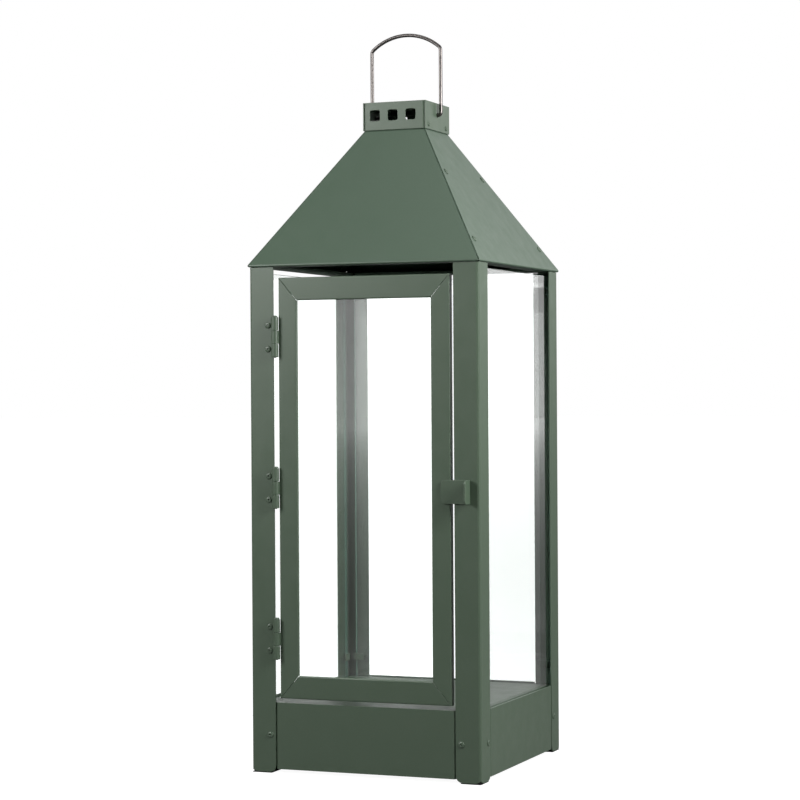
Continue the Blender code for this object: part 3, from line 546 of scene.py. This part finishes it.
def folded(name, path, along, start, end, radius, steps=4):
    """A sheet's outer face, folded along a path of points and run from start to end along a direction.

    The first strip is a plane; each next strip is extruded from the last edge, and then every fold is
    rounded. The piece is left open in edit mode for cutting.
    """
    deselect_everything()
    path = [Vector(point) for point in path]
    along = Vector(along)
    first = path[1] - path[0]
    bpy.ops.mesh.primitive_plane_add(size=1)
    strip = bpy.context.object
    strip.scale = (first.length, end - start, 1)
    across = first.normalized()
    turn = Matrix((across, along, across.cross(along))).transposed()
    strip.rotation_euler = turn.to_euler()
    strip.location = (path[0] + path[1]) / 2 + along * (start + end) / 2
    obj = begin(name)
    middle = along * (start + end) / 2
    for near, far in zip(path[1:], path[2:]):
        choose("EDGE", lambda c, e: (c - near - middle).length < TINY)
        bpy.ops.mesh.extrude_edges_move(TRANSFORM_OT_translate={"value": tuple(far - near)})
    for i in range(1, len(path) - 1):
        before = (path[i] - path[i - 1]).normalized()
        after = (path[i + 1] - path[i]).normalized()
        reach = radius * math.tan(before.angle(after) / 2)
        corner = path[i]
        choose("EDGE", lambda c, e: (c - corner - middle).length < TINY and len(e.link_faces) == 2)
        bpy.ops.mesh.bevel(offset=reach, offset_type="OFFSET", segments=steps, affect="EDGES")
    return obj


def cut_off(point, outward):
    """Trim everything beyond a plane from the piece in edit mode."""
    bpy.ops.mesh.select_mode(type="VERT")
    bpy.ops.mesh.select_all(action="SELECT")
    bpy.ops.mesh.bisect(plane_co=point, plane_no=outward, clear_outer=True, threshold=0.001 * MM)


def thicken(obj, thickness, inside):
    """Give a folded face its sheet thickness towards a point inside it, and ease its cut edges."""
    close_editing_open(obj, inside)
    modified(obj, "SOLIDIFY", thickness=thickness, offset=-1.0, use_even_offset=True)
    modified(obj, "BEVEL", width=SHEET_EASED, segments=2, limit_method="ANGLE", angle_limit=CUT_ANGLE)


def close_editing_open(obj, inside):
    """Leave edit mode with an open sheet's faces pointing away from a point inside the fold."""
    bpy.ops.mesh.select_mode(type="VERT")
    bpy.ops.mesh.select_all(action="SELECT")
    bpy.ops.mesh.remove_doubles(threshold=MERGE)
    bpy.ops.mesh.normals_make_consistent(inside=False)
    mesh = bmesh.from_edit_mesh(obj.data)
    mesh.normal_update()
    widest = max(mesh.faces, key=lambda f: f.calc_area())
    if widest.normal.dot(widest.calc_center_median() - Vector(inside)) < 0:
        bpy.ops.mesh.flip_normals()
    bpy.ops.object.mode_set(mode="OBJECT")


def side_turn(side):
    """Turns a piece modelled on the front side to another side."""
    return Matrix.Rotation(math.radians(90) * SIDES.index(side), 4, "Z")


# Door

class LANTERN_OT_door_frame(Operator):
    """Fold the door's two rails and two stiles and mitre them"""

    bl_idname = "lantern.door_frame"
    bl_label = "Door frame"

    def execute(self, context):
        left = box_of("door_stile_hinge")[0].x
        right = box_of("door_stile_latch")[1].x
        bottom = box_of("door_rail_bottom")[0].z
        top = box_of("door_rail_top")[1].z
        front = box_of("door_rail_top")[0].y
        depth = size_of("door_rail_top", 1)
        rail = size_of("door_rail_top", 2)
        stile = size_of("door_stile_hinge", 0)
        centre = Vector(((left + right) / 2, front, (bottom + top) / 2))
        pieces = (
            ("door_rail_top", (0, 0, -1), (1, 0, 0), rail, stile, (top - bottom) / 2, (right - left) / 2),
            ("door_rail_bottom", (0, 0, 1), (1, 0, 0), rail, stile, (top - bottom) / 2, (right - left) / 2),
            ("door_stile_hinge", (1, 0, 0), (0, 0, 1), stile, rail, (right - left) / 2, (top - bottom) / 2),
            ("door_stile_latch", (-1, 0, 0), (0, 0, 1), stile, rail, (right - left) / 2, (top - bottom) / 2),
        )
        for node, inward, along, width, other, reach, half in pieces:
            inward, along = Vector(inward), Vector(along)
            edge = centre - inward * reach
            back = Vector((0, depth, 0))
            path = [
                edge + back + inward * DOOR_FLANGE,
                edge + back,
                edge,
                edge + inward * width,
                edge + inward * width + Vector((0, DOOR_HEM, 0)),
            ]
            obj = folded(node + "_channel", path, along, -half, half, DOOR_BEND)
            for hand in (-1, 1):
                corner = edge + along * hand * (half - MITRE_GAP / 2)
                slope = (inward * other + along * hand * width).normalized()
                cut_off(corner, slope)
            thicken(obj, THIN_SHEET, edge + inward * width / 2 + back / 2)
            complete(obj, "moss_green_coat", "door", (node,))
        return {"FINISHED"}


# Roof

class LANTERN_OT_roof(Operator):
    """Fold the four roof panels, with their eave flanges, ridge strips and lips in the chimney"""

    bl_idname = "lantern.roof"
    bl_label = "Roof panels"

    def execute(self, context):
        inward = EAVE_CORNER - EAVE_FLANGE
        path = [
            (0, -inward, EAVE_HEIGHT + EAVE_LIP),
            (0, -inward, EAVE_HEIGHT),
            (0, -EAVE_CORNER, EAVE_HEIGHT),
            (0, -ROOF_NECK, NECK_HEIGHT),
            (0, -ROOF_NECK, NECK_HEIGHT + NECK_LIP),
        ]
        for gap, sides in ((RIDGE_GAP, ("front", "back")), (SEAT, ("right", "left"))):
            obj = folded("roof_pattern", path, (1, 0, 0), -EAVE_CORNER, EAVE_CORNER, ROOF_BEND, steps=6)
            for hand in (-1, 1):
                cut_off((hand * -gap * math.sqrt(2), 0, 0), (hand, 1, 0))
            choose("VERT", lambda c: c.z > NECK_HEIGHT + NECK_LIP_FROM)
            bpy.ops.transform.resize(value=(NECK_LIP_SHARE, 1, 1), center_override=(0, 0, 0))
            thicken(obj, THIN_SHEET, (0, 0, EAVE_HEIGHT + EAVE_FLANGE))
            if "front" in sides:
                obj = join_pieces([obj, ridge_strip(1), ridge_strip(-1)])
            for side in sides:
                node = "roof_panel_" + side
                sheet = copied(obj, node + "_sheet", side_turn(side))
                complete(sheet, "moss_green_coat_roof", "body", (node,))
            bpy.data.objects.remove(obj)
        return {"FINISHED"}


def ridge_strip(hand):
    """The front panel's strip along one ridge, which lies under the neighbouring side panel."""
    low = Vector((hand * EAVE_CORNER, -EAVE_CORNER, EAVE_HEIGHT))
    high = Vector((hand * ROOF_NECK, -ROOF_NECK, NECK_HEIGHT))
    ridge = (high - low).normalized()
    outward = Vector((hand * (NECK_HEIGHT - EAVE_HEIGHT), 0, EAVE_CORNER - ROOF_NECK)).normalized()
    across = ridge.cross(outward) * hand
    start = low - outward * (THIN_SHEET + SEAT) + across * STRIP_START
    span = (high - low).length
    path = [start, start + across * ROOF_STRIP]
    strip = folded("roof_strip", path, ridge, STRIP_INSET, span - STRIP_INSET, ROOF_BEND)
    thicken(strip, THIN_SHEET, (0, 0, EAVE_HEIGHT))
    return strip


# Hinges

class LANTERN_OT_hinges(Operator):
    """Roll the hinges' knuckles round their pins, a leaf behind the post's flange and one by the door"""

    bl_idname = "lantern.hinges"
    bl_label = "Hinges"

    def execute(self, context):
        axis = joint_place("door_hinge")
        for label in ("top", "middle", "bottom"):
            for leaf, body in (("post", "body"), ("door", "door")):
                node = f"hinge_{label}_{leaf}_leaf"
                complete(hinge_leaf(node, axis, leaf), "moss_green_coat", body, (node,))
            node = f"hinge_{label}_pin"
            complete(hinge_pin(node, axis), "moss_green_coat", "body", (node,))
        return {"FINISHED"}


def knuckle_heights(node, leaf):
    """Lower and upper ends of a leaf's knuckles, of three that share the hinge's length."""
    low, high = box_of(node)
    length = (high.z - low.z - 2 * KNUCKLE_GAP) / 3
    starts = [low.z + i * (length + KNUCKLE_GAP) for i in range(3)]
    chosen = (0, 2) if leaf == "post" else (1,)
    return [(starts[i], starts[i] + length) for i in chosen]


def hinge_leaf(node, axis, leaf):
    """A leaf with its rolled knuckles; the plate's edge runs into the barrel."""
    low, high = box_of(node)
    parts = []
    radius = BARREL_DIAMETER / 2
    for i, (bottom, top) in enumerate(knuckle_heights(node, leaf)):
        bore = radius - LEAF
        profile = [(bore, bottom), (radius - EASED, bottom), (radius, bottom + EASED)]
        profile += [(radius, top - EASED), (radius - EASED, top), (bore, top), (bore, bottom)]
        parts.append(lathe(f"{node}_knuckle_{i}", profile, axis, sizes().rivet_segments))
    back = -WALL_HALF + SHEET + SEAT
    if leaf == "post":
        arm = -POST_INNER + SEAT
        path = [(low.x, back, 0), (arm + LEAF, back, 0), (arm + LEAF, axis.y, 0)]
    else:
        arm = high.x
        path = [(arm, high.y, 0), (arm, axis.y + radius / 2, 0)]
    plate = folded(node + "_plate", path, (0, 0, 1), low.z, high.z, LEAF_BEND)
    if leaf == "post":
        bottom, top = knuckle_heights(node, leaf)[0][1], knuckle_heights(node, leaf)[1][0]
        notch_plate(bottom, top, axis.y + radius + KNUCKLE_GAP)
        close_editing_open(plate, (low.x, back - LEAF, (low.z + high.z) / 2))
        modified(plate, "SOLIDIFY", thickness=LEAF, offset=1.0, use_even_offset=True)
    else:
        (bottom, top), = knuckle_heights(node, leaf)
        notch_ends(bottom, top, axis.y + radius + KNUCKLE_GAP)
        close_editing_open(plate, (arm - LEAF, high.y, low.z))
        modified(plate, "SOLIDIFY", thickness=LEAF, offset=-1.0, use_even_offset=True)
    modified(plate, "BEVEL", width=LEAF_EASED, segments=2, limit_method="ANGLE", angle_limit=CUT_ANGLE)
    return join_pieces([plate] + parts)


def notch_plate(bottom, top, front):
    """Cut away the plate's front edge between two heights, where the other leaf's knuckle turns."""
    for z in (bottom, top):
        bpy.ops.mesh.select_all(action="SELECT")
        bpy.ops.mesh.bisect(plane_co=(0, 0, z), plane_no=(0, 0, 1))
    bpy.ops.mesh.select_all(action="SELECT")
    bpy.ops.mesh.bisect(plane_co=(0, front, 0), plane_no=(0, 1, 0))
    choose("FACE", lambda c, f: bottom < c.z < top and c.y < front)
    bpy.ops.mesh.delete(type="FACE")


def notch_ends(bottom, top, front):
    """Cut away the plate's front edge above and below its own knuckle."""
    for z in (bottom, top):
        bpy.ops.mesh.select_all(action="SELECT")
        bpy.ops.mesh.bisect(plane_co=(0, 0, z), plane_no=(0, 0, 1))
    bpy.ops.mesh.select_all(action="SELECT")
    bpy.ops.mesh.bisect(plane_co=(0, front, 0), plane_no=(0, 1, 0))
    choose("FACE", lambda c, f: not bottom < c.z < top and c.y < front)
    bpy.ops.mesh.delete(type="FACE")


def lathe(name, profile, axis, segments):
    """Spin a closed profile of radius and height round the hinge's axis."""
    deselect_everything()
    bpy.ops.mesh.primitive_circle_add(vertices=len(profile) - 1, radius=1 * MM)
    obj = begin(name)
    mesh = bmesh.from_edit_mesh(obj.data)
    for vert, (radius, height) in zip(mesh.verts, profile):
        vert.co = (axis.x + radius, axis.y, height)
    bmesh.update_edit_mesh(obj.data)
    bpy.ops.mesh.select_all(action="SELECT")
    bpy.ops.mesh.spin(steps=segments, angle=math.radians(360), center=axis, axis=(0, 0, 1))
    close_editing()
    return obj


def hinge_pin(node, axis):
    """The pin, hardly wider than what shows at the barrel's ends, with a low rounded head."""
    low, high = box_of(node)
    radius = PIN_DIAMETER / 2
    head = (high.x - low.x) / 2
    seat = high.z - PIN_HEAD
    profile = [(0.3 * radius, low.z), (0.75 * radius, low.z), (radius, low.z + PIN_TIP), (radius, seat)]
    profile += [(head, seat), (head, seat + 0.3 * PIN_HEAD), (0.85 * head, seat + 0.8 * PIN_HEAD)]
    profile += [(0.5 * head, high.z), (0.1 * head, high.z)]
    pin = turned(node + "_turned", profile, sizes().rivet_segments)
    pin.location = (axis.x, axis.y, 0)
    return pin


# Pull

class LANTERN_OT_pull(Operator):
    """Fold the pull that laps the post and turns forward as a grip"""

    bl_idname = "lantern.pull"
    bl_label = "Door pull"

    def execute(self, context):
        low, high = box_of("door_pull")
        path = [(low.x, high.y - PULL_SHEET, 0), (high.x, high.y - PULL_SHEET, 0), (high.x, low.y, 0)]
        obj = folded("door_pull_plate", path, (0, 0, 1), low.z, high.z, PULL_BEND, steps=6)
        choose("VERT", lambda c: abs(c.x - low.x) < TINY or abs(c.y - low.y) < TINY)
        bpy.ops.mesh.bevel(offset=PULL_ROUND, segments=6, affect="VERTICES")
        close_editing_open(obj, (low.x, high.y + 1, (low.z + high.z) / 2))
        modified(obj, "SOLIDIFY", thickness=PULL_SHEET, offset=-1.0, use_even_offset=True)
        modified(obj, "BEVEL", width=EASED, segments=3, limit_method="ANGLE", angle_limit=CUT_ANGLE)
        complete(obj, "moss_green_coat", "door", ("door_pull",))
        return {"FINISHED"}


# Glass

class LANTERN_OT_glass(Operator):
    """Cut the four panes and polish their edges"""

    bl_idname = "lantern.glass"
    bl_label = "Glass panes"

    def execute(self, context):
        for node in ("door_glass", "glass_right", "glass_back", "glass_left"):
            low, high = box_of(node)
            deselect_everything()
            bpy.ops.mesh.primitive_cube_add(size=1, location=(low + high) / 2)
            bpy.context.object.scale = high - low
            obj = begin(node + "_pane")
            bpy.ops.mesh.select_all(action="SELECT")
            bpy.ops.mesh.bevel(offset=PANE_EASED, segments=2, affect="EDGES")
            close_editing()
            obj.data.materials.append(finished("clear_glass"))
            obj.data.materials.append(finished("glass_edge"))
            thin = min(range(3), key=lambda i: (high - low)[i])
            for face in obj.data.polygons:
                face.material_index = 0 if abs(face.normal[thin]) > 0.9 else 1
            complete(obj, "clear_glass", BODY_OF[node], (node,))
        return {"FINISHED"}


# Handle

def sweep_straight(offset):
    """Run the selected end of the wire on in a straight line."""
    bpy.ops.mesh.extrude_region_move(TRANSFORM_OT_translate={"value": tuple(offset)})


def sweep_arc(centre, angle, steps):
    """Carry the selected end of the wire round a point, from right over the top to left."""
    bpy.ops.mesh.spin(steps=steps, angle=angle, center=centre, axis=(0, 1, 0))


class LANTERN_OT_handle(Operator):
    """Bend the handle from one length of drawn wire"""

    bl_idname = "lantern.handle"
    bl_label = "Wire handle"

    def execute(self, context):
        low, high = box_of("handle")
        pivot = joint_place("handle_pivot")
        wire = sizes().wire_diameter
        leg = high.x - wire / 2
        bend, hook = HANDLE_BEND, HANDLE_HOOK
        shoulder = pivot.z + HANDLE_LEG
        rise = high.z - wire / 2 - shoulder
        arch = (leg**2 + rise**2) / (2 * rise)
        arch_centre = Vector((0, pivot.y, high.z - wire / 2 - arch))
        bend_x = leg - bend
        bend_drop = math.sqrt((arch - bend) ** 2 - bend_x**2)
        bend_centre = Vector((bend_x, pivot.y, arch_centre.z + bend_drop))
        bend_angle = math.atan2(bend_drop, bend_x)
        hooked = [v.co.x for v in NODES["handle"].data.vertices if abs(v.co.z - pivot.z) < wire / 2]
        end_x = min(x for x in hooked if x > 0)

        deselect_everything()
        bpy.ops.mesh.primitive_circle_add(
            vertices=sizes().wire_segments, radius=wire / 2, fill_type="NGON",
            location=(end_x, pivot.y, pivot.z), rotation=(0, math.radians(90), 0),
        )
        obj = begin("handle_wire")
        bpy.ops.mesh.select_all(action="SELECT")
        sweep_straight((leg - hook - end_x, 0, 0))
        sweep_arc((leg - hook, pivot.y, pivot.z + hook), math.radians(90), HANDLE_BEND_STEPS)
        sweep_straight((0, 0, bend_centre.z - pivot.z - hook))
        sweep_arc(bend_centre, bend_angle, HANDLE_BEND_STEPS)
        sweep_arc(arch_centre, math.pi - 2 * bend_angle, HANDLE_ARCH_STEPS)
        sweep_arc(bend_centre * Vector((-1, 1, 1)), bend_angle, HANDLE_BEND_STEPS)
        sweep_straight((0, 0, pivot.z + hook - bend_centre.z))
        sweep_arc((hook - leg, pivot.y, pivot.z + hook), math.radians(90), HANDLE_BEND_STEPS)
        sweep_straight((leg - hook - end_x, 0, 0))
        close_editing()
        modified(obj, "BEVEL", width=EASED, segments=2, limit_method="ANGLE", angle_limit=math.radians(60))
        complete(obj, "stainless_steel", "handle", ("handle",))
        return {"FINISHED"}


# Rivets

def rivet_profile(head, grip):
    """Radius and height of a blind rivet's rings: mandrel pit, dome, rim, shank and set tail."""
    shank, tail, pit, rise = RIVET_SHANK, RIVET_TAIL, RIVET_PIT, RIVET_RISE
    floor = rise - RIVET_PIT_DEPTH
    rings = [(0.2 * pit, floor), (0.85 * pit, floor), (pit, rise - RIVET_PIT_LIP)]
    rings.append((pit + RIVET_PIT_LIP, rise))
    for i in range(1, RIVET_DOME_STEPS + 1):
        angle = math.radians(90) * i / RIVET_DOME_STEPS
        radius = pit + RIVET_PIT_LIP + (head - pit - RIVET_PIT_LIP) * math.sin(angle)
        rings.append((radius, RIVET_RIM + (rise - RIVET_RIM) * math.cos(angle)))
    rings += [(head, 0.17 * MM), (shank, 0.15 * MM), (shank, -grip - 0.3 * MM)]
    rings += [(tail, -grip - 0.8 * MM), (tail, -grip - 1.6 * MM)]
    rings += [(0.7 * tail, -grip - 2.2 * MM), (0.2 * MM, -grip - 2.2 * MM)]
    return rings


class LANTERN_OT_rivets(Operator):
    """Set a domed blind rivet at every riveted joint"""

    bl_idname = "lantern.rivets"
    bl_label = "Rivets"

    def execute(self, context):
        head = sizes().rivet_head / 2
        rivet = turned("rivet_pattern", rivet_profile(head, RIVET_GRIP), sizes().rivet_segments)
        for node in sorted(n for n in NODES if n.startswith("rivet_")):
            side = "front" if node.startswith("rivet_hinge") else node.rsplit("_", 1)[1]
            outward = side_turn(side) @ Vector((0, -1, 0))
            centre = middle_of(node)
            seat = centre - outward * centre.dot(outward) + outward * WALL_HALF
            turn = outward.to_track_quat("Z", "Y").to_matrix().to_4x4()
            piece = copied(rivet, node + "_head", Matrix.Translation(seat) @ turn)
            complete(piece, "moss_green_coat", "body", (node,))
        self.join_roof_and_chimney(rivet)
        bpy.data.objects.remove(rivet)
        return {"FINISHED"}

    def join_roof_and_chimney(self, rivet):
        """Rivets through the side panels into the ridge strips, and through the chimney's side plates."""
        run = EAVE_CORNER - ROOF_NECK
        rise = NECK_HEIGHT - EAVE_HEIGHT
        slope = Vector((rise, 0, run)).normalized()
        for side in ("right", "left"):
            turn = Matrix.Rotation(math.radians(180), 4, "Z") if side == "left" else Matrix.Identity(4)
            for row, height in (("upper", ROOF_RIVET_HIGH), ("lower", ROOF_RIVET_LOW)):
                outward = EAVE_CORNER - run * (height - EAVE_HEIGHT) / rise
                for end, hand in (("front", -1), ("back", 1)):
                    spot = Vector((outward, hand * (outward - ROOF_RIVET_INSET), height))
                    aim = slope.to_track_quat("Z", "Y").to_matrix().to_4x4()
                    place = turn @ Matrix.Translation(spot) @ aim
                    piece = copied(rivet, f"rivet_roof_{side}_{end}_{row}", place)
                    complete(piece, "moss_green_coat", "body")
            for end, hand in (("front", -1), ("back", 1)):
                spot = Vector((CHIMNEY_HALF, hand * CHIMNEY_RIVET_OUT, CHIMNEY_BOTTOM + CHIMNEY_RIVET_UP))
                aim = Vector((1, 0, 0)).to_track_quat("Z", "Y").to_matrix().to_4x4()
                size = Matrix.Scale(CHIMNEY_RIVET_SHARE, 4)
                place = turn @ Matrix.Translation(spot) @ aim @ size
                complete(copied(rivet, f"rivet_chimney_{side}_{end}", place), "moss_green_coat", "body")


# Carried-over CAD parts

class LANTERN_OT_finishes(Operator):
    """Give every part of the frame that stays in view its finish"""

    bl_idname = "lantern.finishes"
    bl_label = "Finishes of the frame"

    def execute(self, context):
        for node, obj in NODES.items():
            obj.data.materials.clear()
            obj.data.materials.append(finished(SLOT_OF[node]))
        return {"FINISHED"}


# Stage

CAMERA_AZIMUTH = math.radians(21.84)
CAMERA_PITCH = -0.0031
CAMERA_ROLL = -0.0060
CAMERA_PLACE = (0.8819, -2.2227, 0.3728)
LENS = 106.17
SENSOR_WIDTH = 36.0
FLOOR_SIZE = 60.0
AIR_SEEN = 1.0  # brightness of the air and the floor as the camera sees them
FLOOR_LIFT = 0.96
PANE_MAKE_UP = 0.13  # how much brighter both look behind each face of glass
AIR_FRONT = 0.02  # brightness of the light that the air casts
AIR_BACK = 0.60
AIR_TURN = (-0.3, 0.7)  # directions along Y between which front turns to back
MIRRORED_FRONT = 1.9  # the air's brightness in sharp mirror images
MIRRORED_BACK = 1.2
FLOOR_MIRRORED = 0.10  # the floor's brightness there, close by; far off it nears the air's
FLOOR_NEAR = 2.0
FLOOR_FAR = 20.0
SOFTBOXES = (
    # name, place, size, power
    ("key_softbox", (-0.80, -1.00, 0.85), (0.5, 0.6), 15.0),
    ("right_softbox", (1.00, -0.30, 0.80), (0.4, 0.6), 18.8),
    ("rear_softbox", (1.00, 2.10, 1.20), (1.0, 1.3), 3.0),
    ("top_softbox", (0.00, -0.50, 2.20), (1.0, 1.0), 7.0),
)


def softbox(name, place, size, power):
    """A rectangular studio light that faces the lantern's middle and that the camera doesn't see."""
    data = bpy.data.lights.new(name, "AREA")
    data.shape = "RECTANGLE"
    data.size, data.size_y = size
    data.energy = power
    light = bpy.data.objects.new(name, data)
    bpy.context.scene.collection.objects.link(light)
    light.location = BODY_AXIS + Vector(place)
    aim = Vector((0, 0, STANDING_HEIGHT / 2)) - Vector(place)
    light.rotation_euler = aim.to_track_quat("-Z", "Y").to_euler()
    light.visible_camera = False
    return light


def pale_floor():
    """Smooth pale studio board, hardly uneven, which the camera sees as white as the air."""
    look = Shading("studio_floor")
    clouds = look.noise(1.5, detail=3.0)
    look.feed(look.shader, "Base Color", look.blend(clouds, (0.19, 0.19, 0.19, 1), (0.21, 0.21, 0.21, 1)))
    look.shader.inputs["Roughness"].default_value = 0.9
    look.shader.inputs["Specular IOR Level"].default_value = 0.1
    path = look.add("ShaderNodeLightPath")
    look.shader.inputs["Emission Color"].default_value = (1.0, 1.0, 1.0, 1.0)
    made_up = look.maths("MULTIPLY", path.outputs["Transparent Depth"], PANE_MAKE_UP)
    lift = look.maths("ADD", made_up, FLOOR_LIFT)
    seen = look.maths("MULTIPLY", path.outputs["Is Camera Ray"], lift)
    place = look.add("ShaderNodeSeparateXYZ")
    look.link(look.coords, place.inputs[0])
    before = look.spread(place.outputs["Y"], MIRRORED_FRONT, FLOOR_MIRRORED, -FLOOR_FAR, 0.0)
    behind = look.spread(place.outputs["Y"], 0.0, MIRRORED_BACK, FLOOR_NEAR, FLOOR_FAR)
    graded = look.maths("ADD", before, behind)
    mirrored = look.maths("MULTIPLY", path.outputs["Is Singular Ray"], graded)
    look.feed(look.shader, "Emission Strength", look.maths("MAXIMUM", seen, mirrored))
    return look.material


def studio_air():
    """Air that the camera sees white, and that lights the lantern more from the back than from the front."""
    world = bpy.data.worlds.new("studio_air")
    world.use_nodes = True
    tree = world.node_tree
    background = tree.nodes["Background"]
    direction = tree.nodes.new("ShaderNodeTexCoord").outputs["Generated"]
    split = tree.nodes.new("ShaderNodeSeparateXYZ")
    tree.links.new(direction, split.inputs[0])
    path = tree.nodes.new("ShaderNodeLightPath").outputs
    levels = []
    for front, back in ((AIR_FRONT, AIR_BACK), (MIRRORED_FRONT, MIRRORED_BACK)):
        ramp = tree.nodes.new("ShaderNodeMapRange")
        ramp.interpolation_type = "SMOOTHSTEP"
        tree.links.new(split.outputs["Y"], ramp.inputs["Value"])
        ramp.inputs["From Min"].default_value = AIR_TURN[0]
        ramp.inputs["From Max"].default_value = AIR_TURN[1]
        ramp.inputs["To Min"].default_value = front
        ramp.inputs["To Max"].default_value = back
        levels.append(ramp.outputs["Result"])
    lit = tree.nodes.new("ShaderNodeMix")
    tree.links.new(path["Is Singular Ray"], lit.inputs[0])
    tree.links.new(levels[0], lit.inputs[2])
    tree.links.new(levels[1], lit.inputs[3])
    lift = tree.nodes.new("ShaderNodeMath")
    lift.operation = "MULTIPLY_ADD"
    tree.links.new(path["Transparent Depth"], lift.inputs[0])
    lift.inputs[1].default_value = PANE_MAKE_UP
    lift.inputs[2].default_value = AIR_SEEN
    white = tree.nodes.new("ShaderNodeMix")
    tree.links.new(path["Is Camera Ray"], white.inputs[0])
    tree.links.new(lit.outputs[0], white.inputs[2])
    tree.links.new(lift.outputs[0], white.inputs[3])
    tree.links.new(white.outputs[0], background.inputs["Strength"])
    background.inputs["Color"].default_value = (1.0, 1.0, 1.0, 1.0)
    return world


class LANTERN_OT_stage(Operator):
    """Set up the pale floor, the soft studio lights and the camera"""

    bl_idname = "lantern.stage"
    bl_label = "Studio"

    def execute(self, context):
        deselect_everything()
        bpy.ops.mesh.primitive_plane_add(size=FLOOR_SIZE, location=(0, 0, 0))
        floor = context.object
        floor.name = "studio_floor"
        floor.data.materials.append(pale_floor())
        context.scene.world = studio_air()
        for box in SOFTBOXES:
            softbox(*box)

        data = bpy.data.cameras.new("view_camera")
        camera = bpy.data.objects.new("view_camera", data)
        context.scene.collection.objects.link(camera)
        data.lens = LENS
        data.sensor_width = SENSOR_WIDTH
        turn = Matrix.Rotation(CAMERA_AZIMUTH, 4, "Z")
        turn = turn @ Matrix.Rotation(math.radians(90) + CAMERA_PITCH, 4, "X")
        turn = turn @ Matrix.Rotation(CAMERA_ROLL, 4, "Z")
        camera.matrix_world = Matrix.Translation(BODY_AXIS + Vector(CAMERA_PLACE)) @ turn
        context.scene.camera = camera
        context.scene.view_settings.view_transform = "Standard"
        return {"FINISHED"}


class LANTERN_PT_panel(Panel):
    """Sidebar panel that lists the lantern's operators and values"""

    bl_idname = "LANTERN_PT_panel"
    bl_label = "Candle Lantern"
    bl_space_type = "VIEW_3D"
    bl_region_type = "UI"
    bl_category = "Lantern"

    def draw(self, context):
        layout = self.layout
        for operator in STEPS:
            layout.operator(operator.bl_idname)
        for group in (context.scene.lantern_sizes, context.scene.lantern_finish):
            for key in group.bl_rna.properties.keys():
                if key not in ("rna_type", "name"):
                    layout.prop(group, key)


STEPS = (
    LANTERN_OT_finishes,
    LANTERN_OT_roof,
    LANTERN_OT_door_frame,
    LANTERN_OT_hinges,
    LANTERN_OT_pull,
    LANTERN_OT_glass,
    LANTERN_OT_handle,
    LANTERN_OT_rivets,
    LANTERN_OT_stage,
)
CLASSES = (LanternSizes, LanternFinish, *STEPS, LANTERN_PT_panel)


def register():
    for cls in CLASSES:
        bpy.utils.register_class(cls)
    bpy.types.Scene.lantern_sizes = PointerProperty(type=LanternSizes)
    bpy.types.Scene.lantern_finish = PointerProperty(type=LanternFinish)


def unregister():
    del bpy.types.Scene.lantern_finish
    del bpy.types.Scene.lantern_sizes
    for cls in reversed(CLASSES):
        bpy.utils.unregister_class(cls)


def plain(box):
    return [[float(value) for value in corner] for corner in box]


def main():
    register()
    for operator in STEPS:
        group, action = operator.bl_idname.split(".")
        getattr(getattr(bpy.ops, group), action)()


if __name__ == "__main__":
    main()
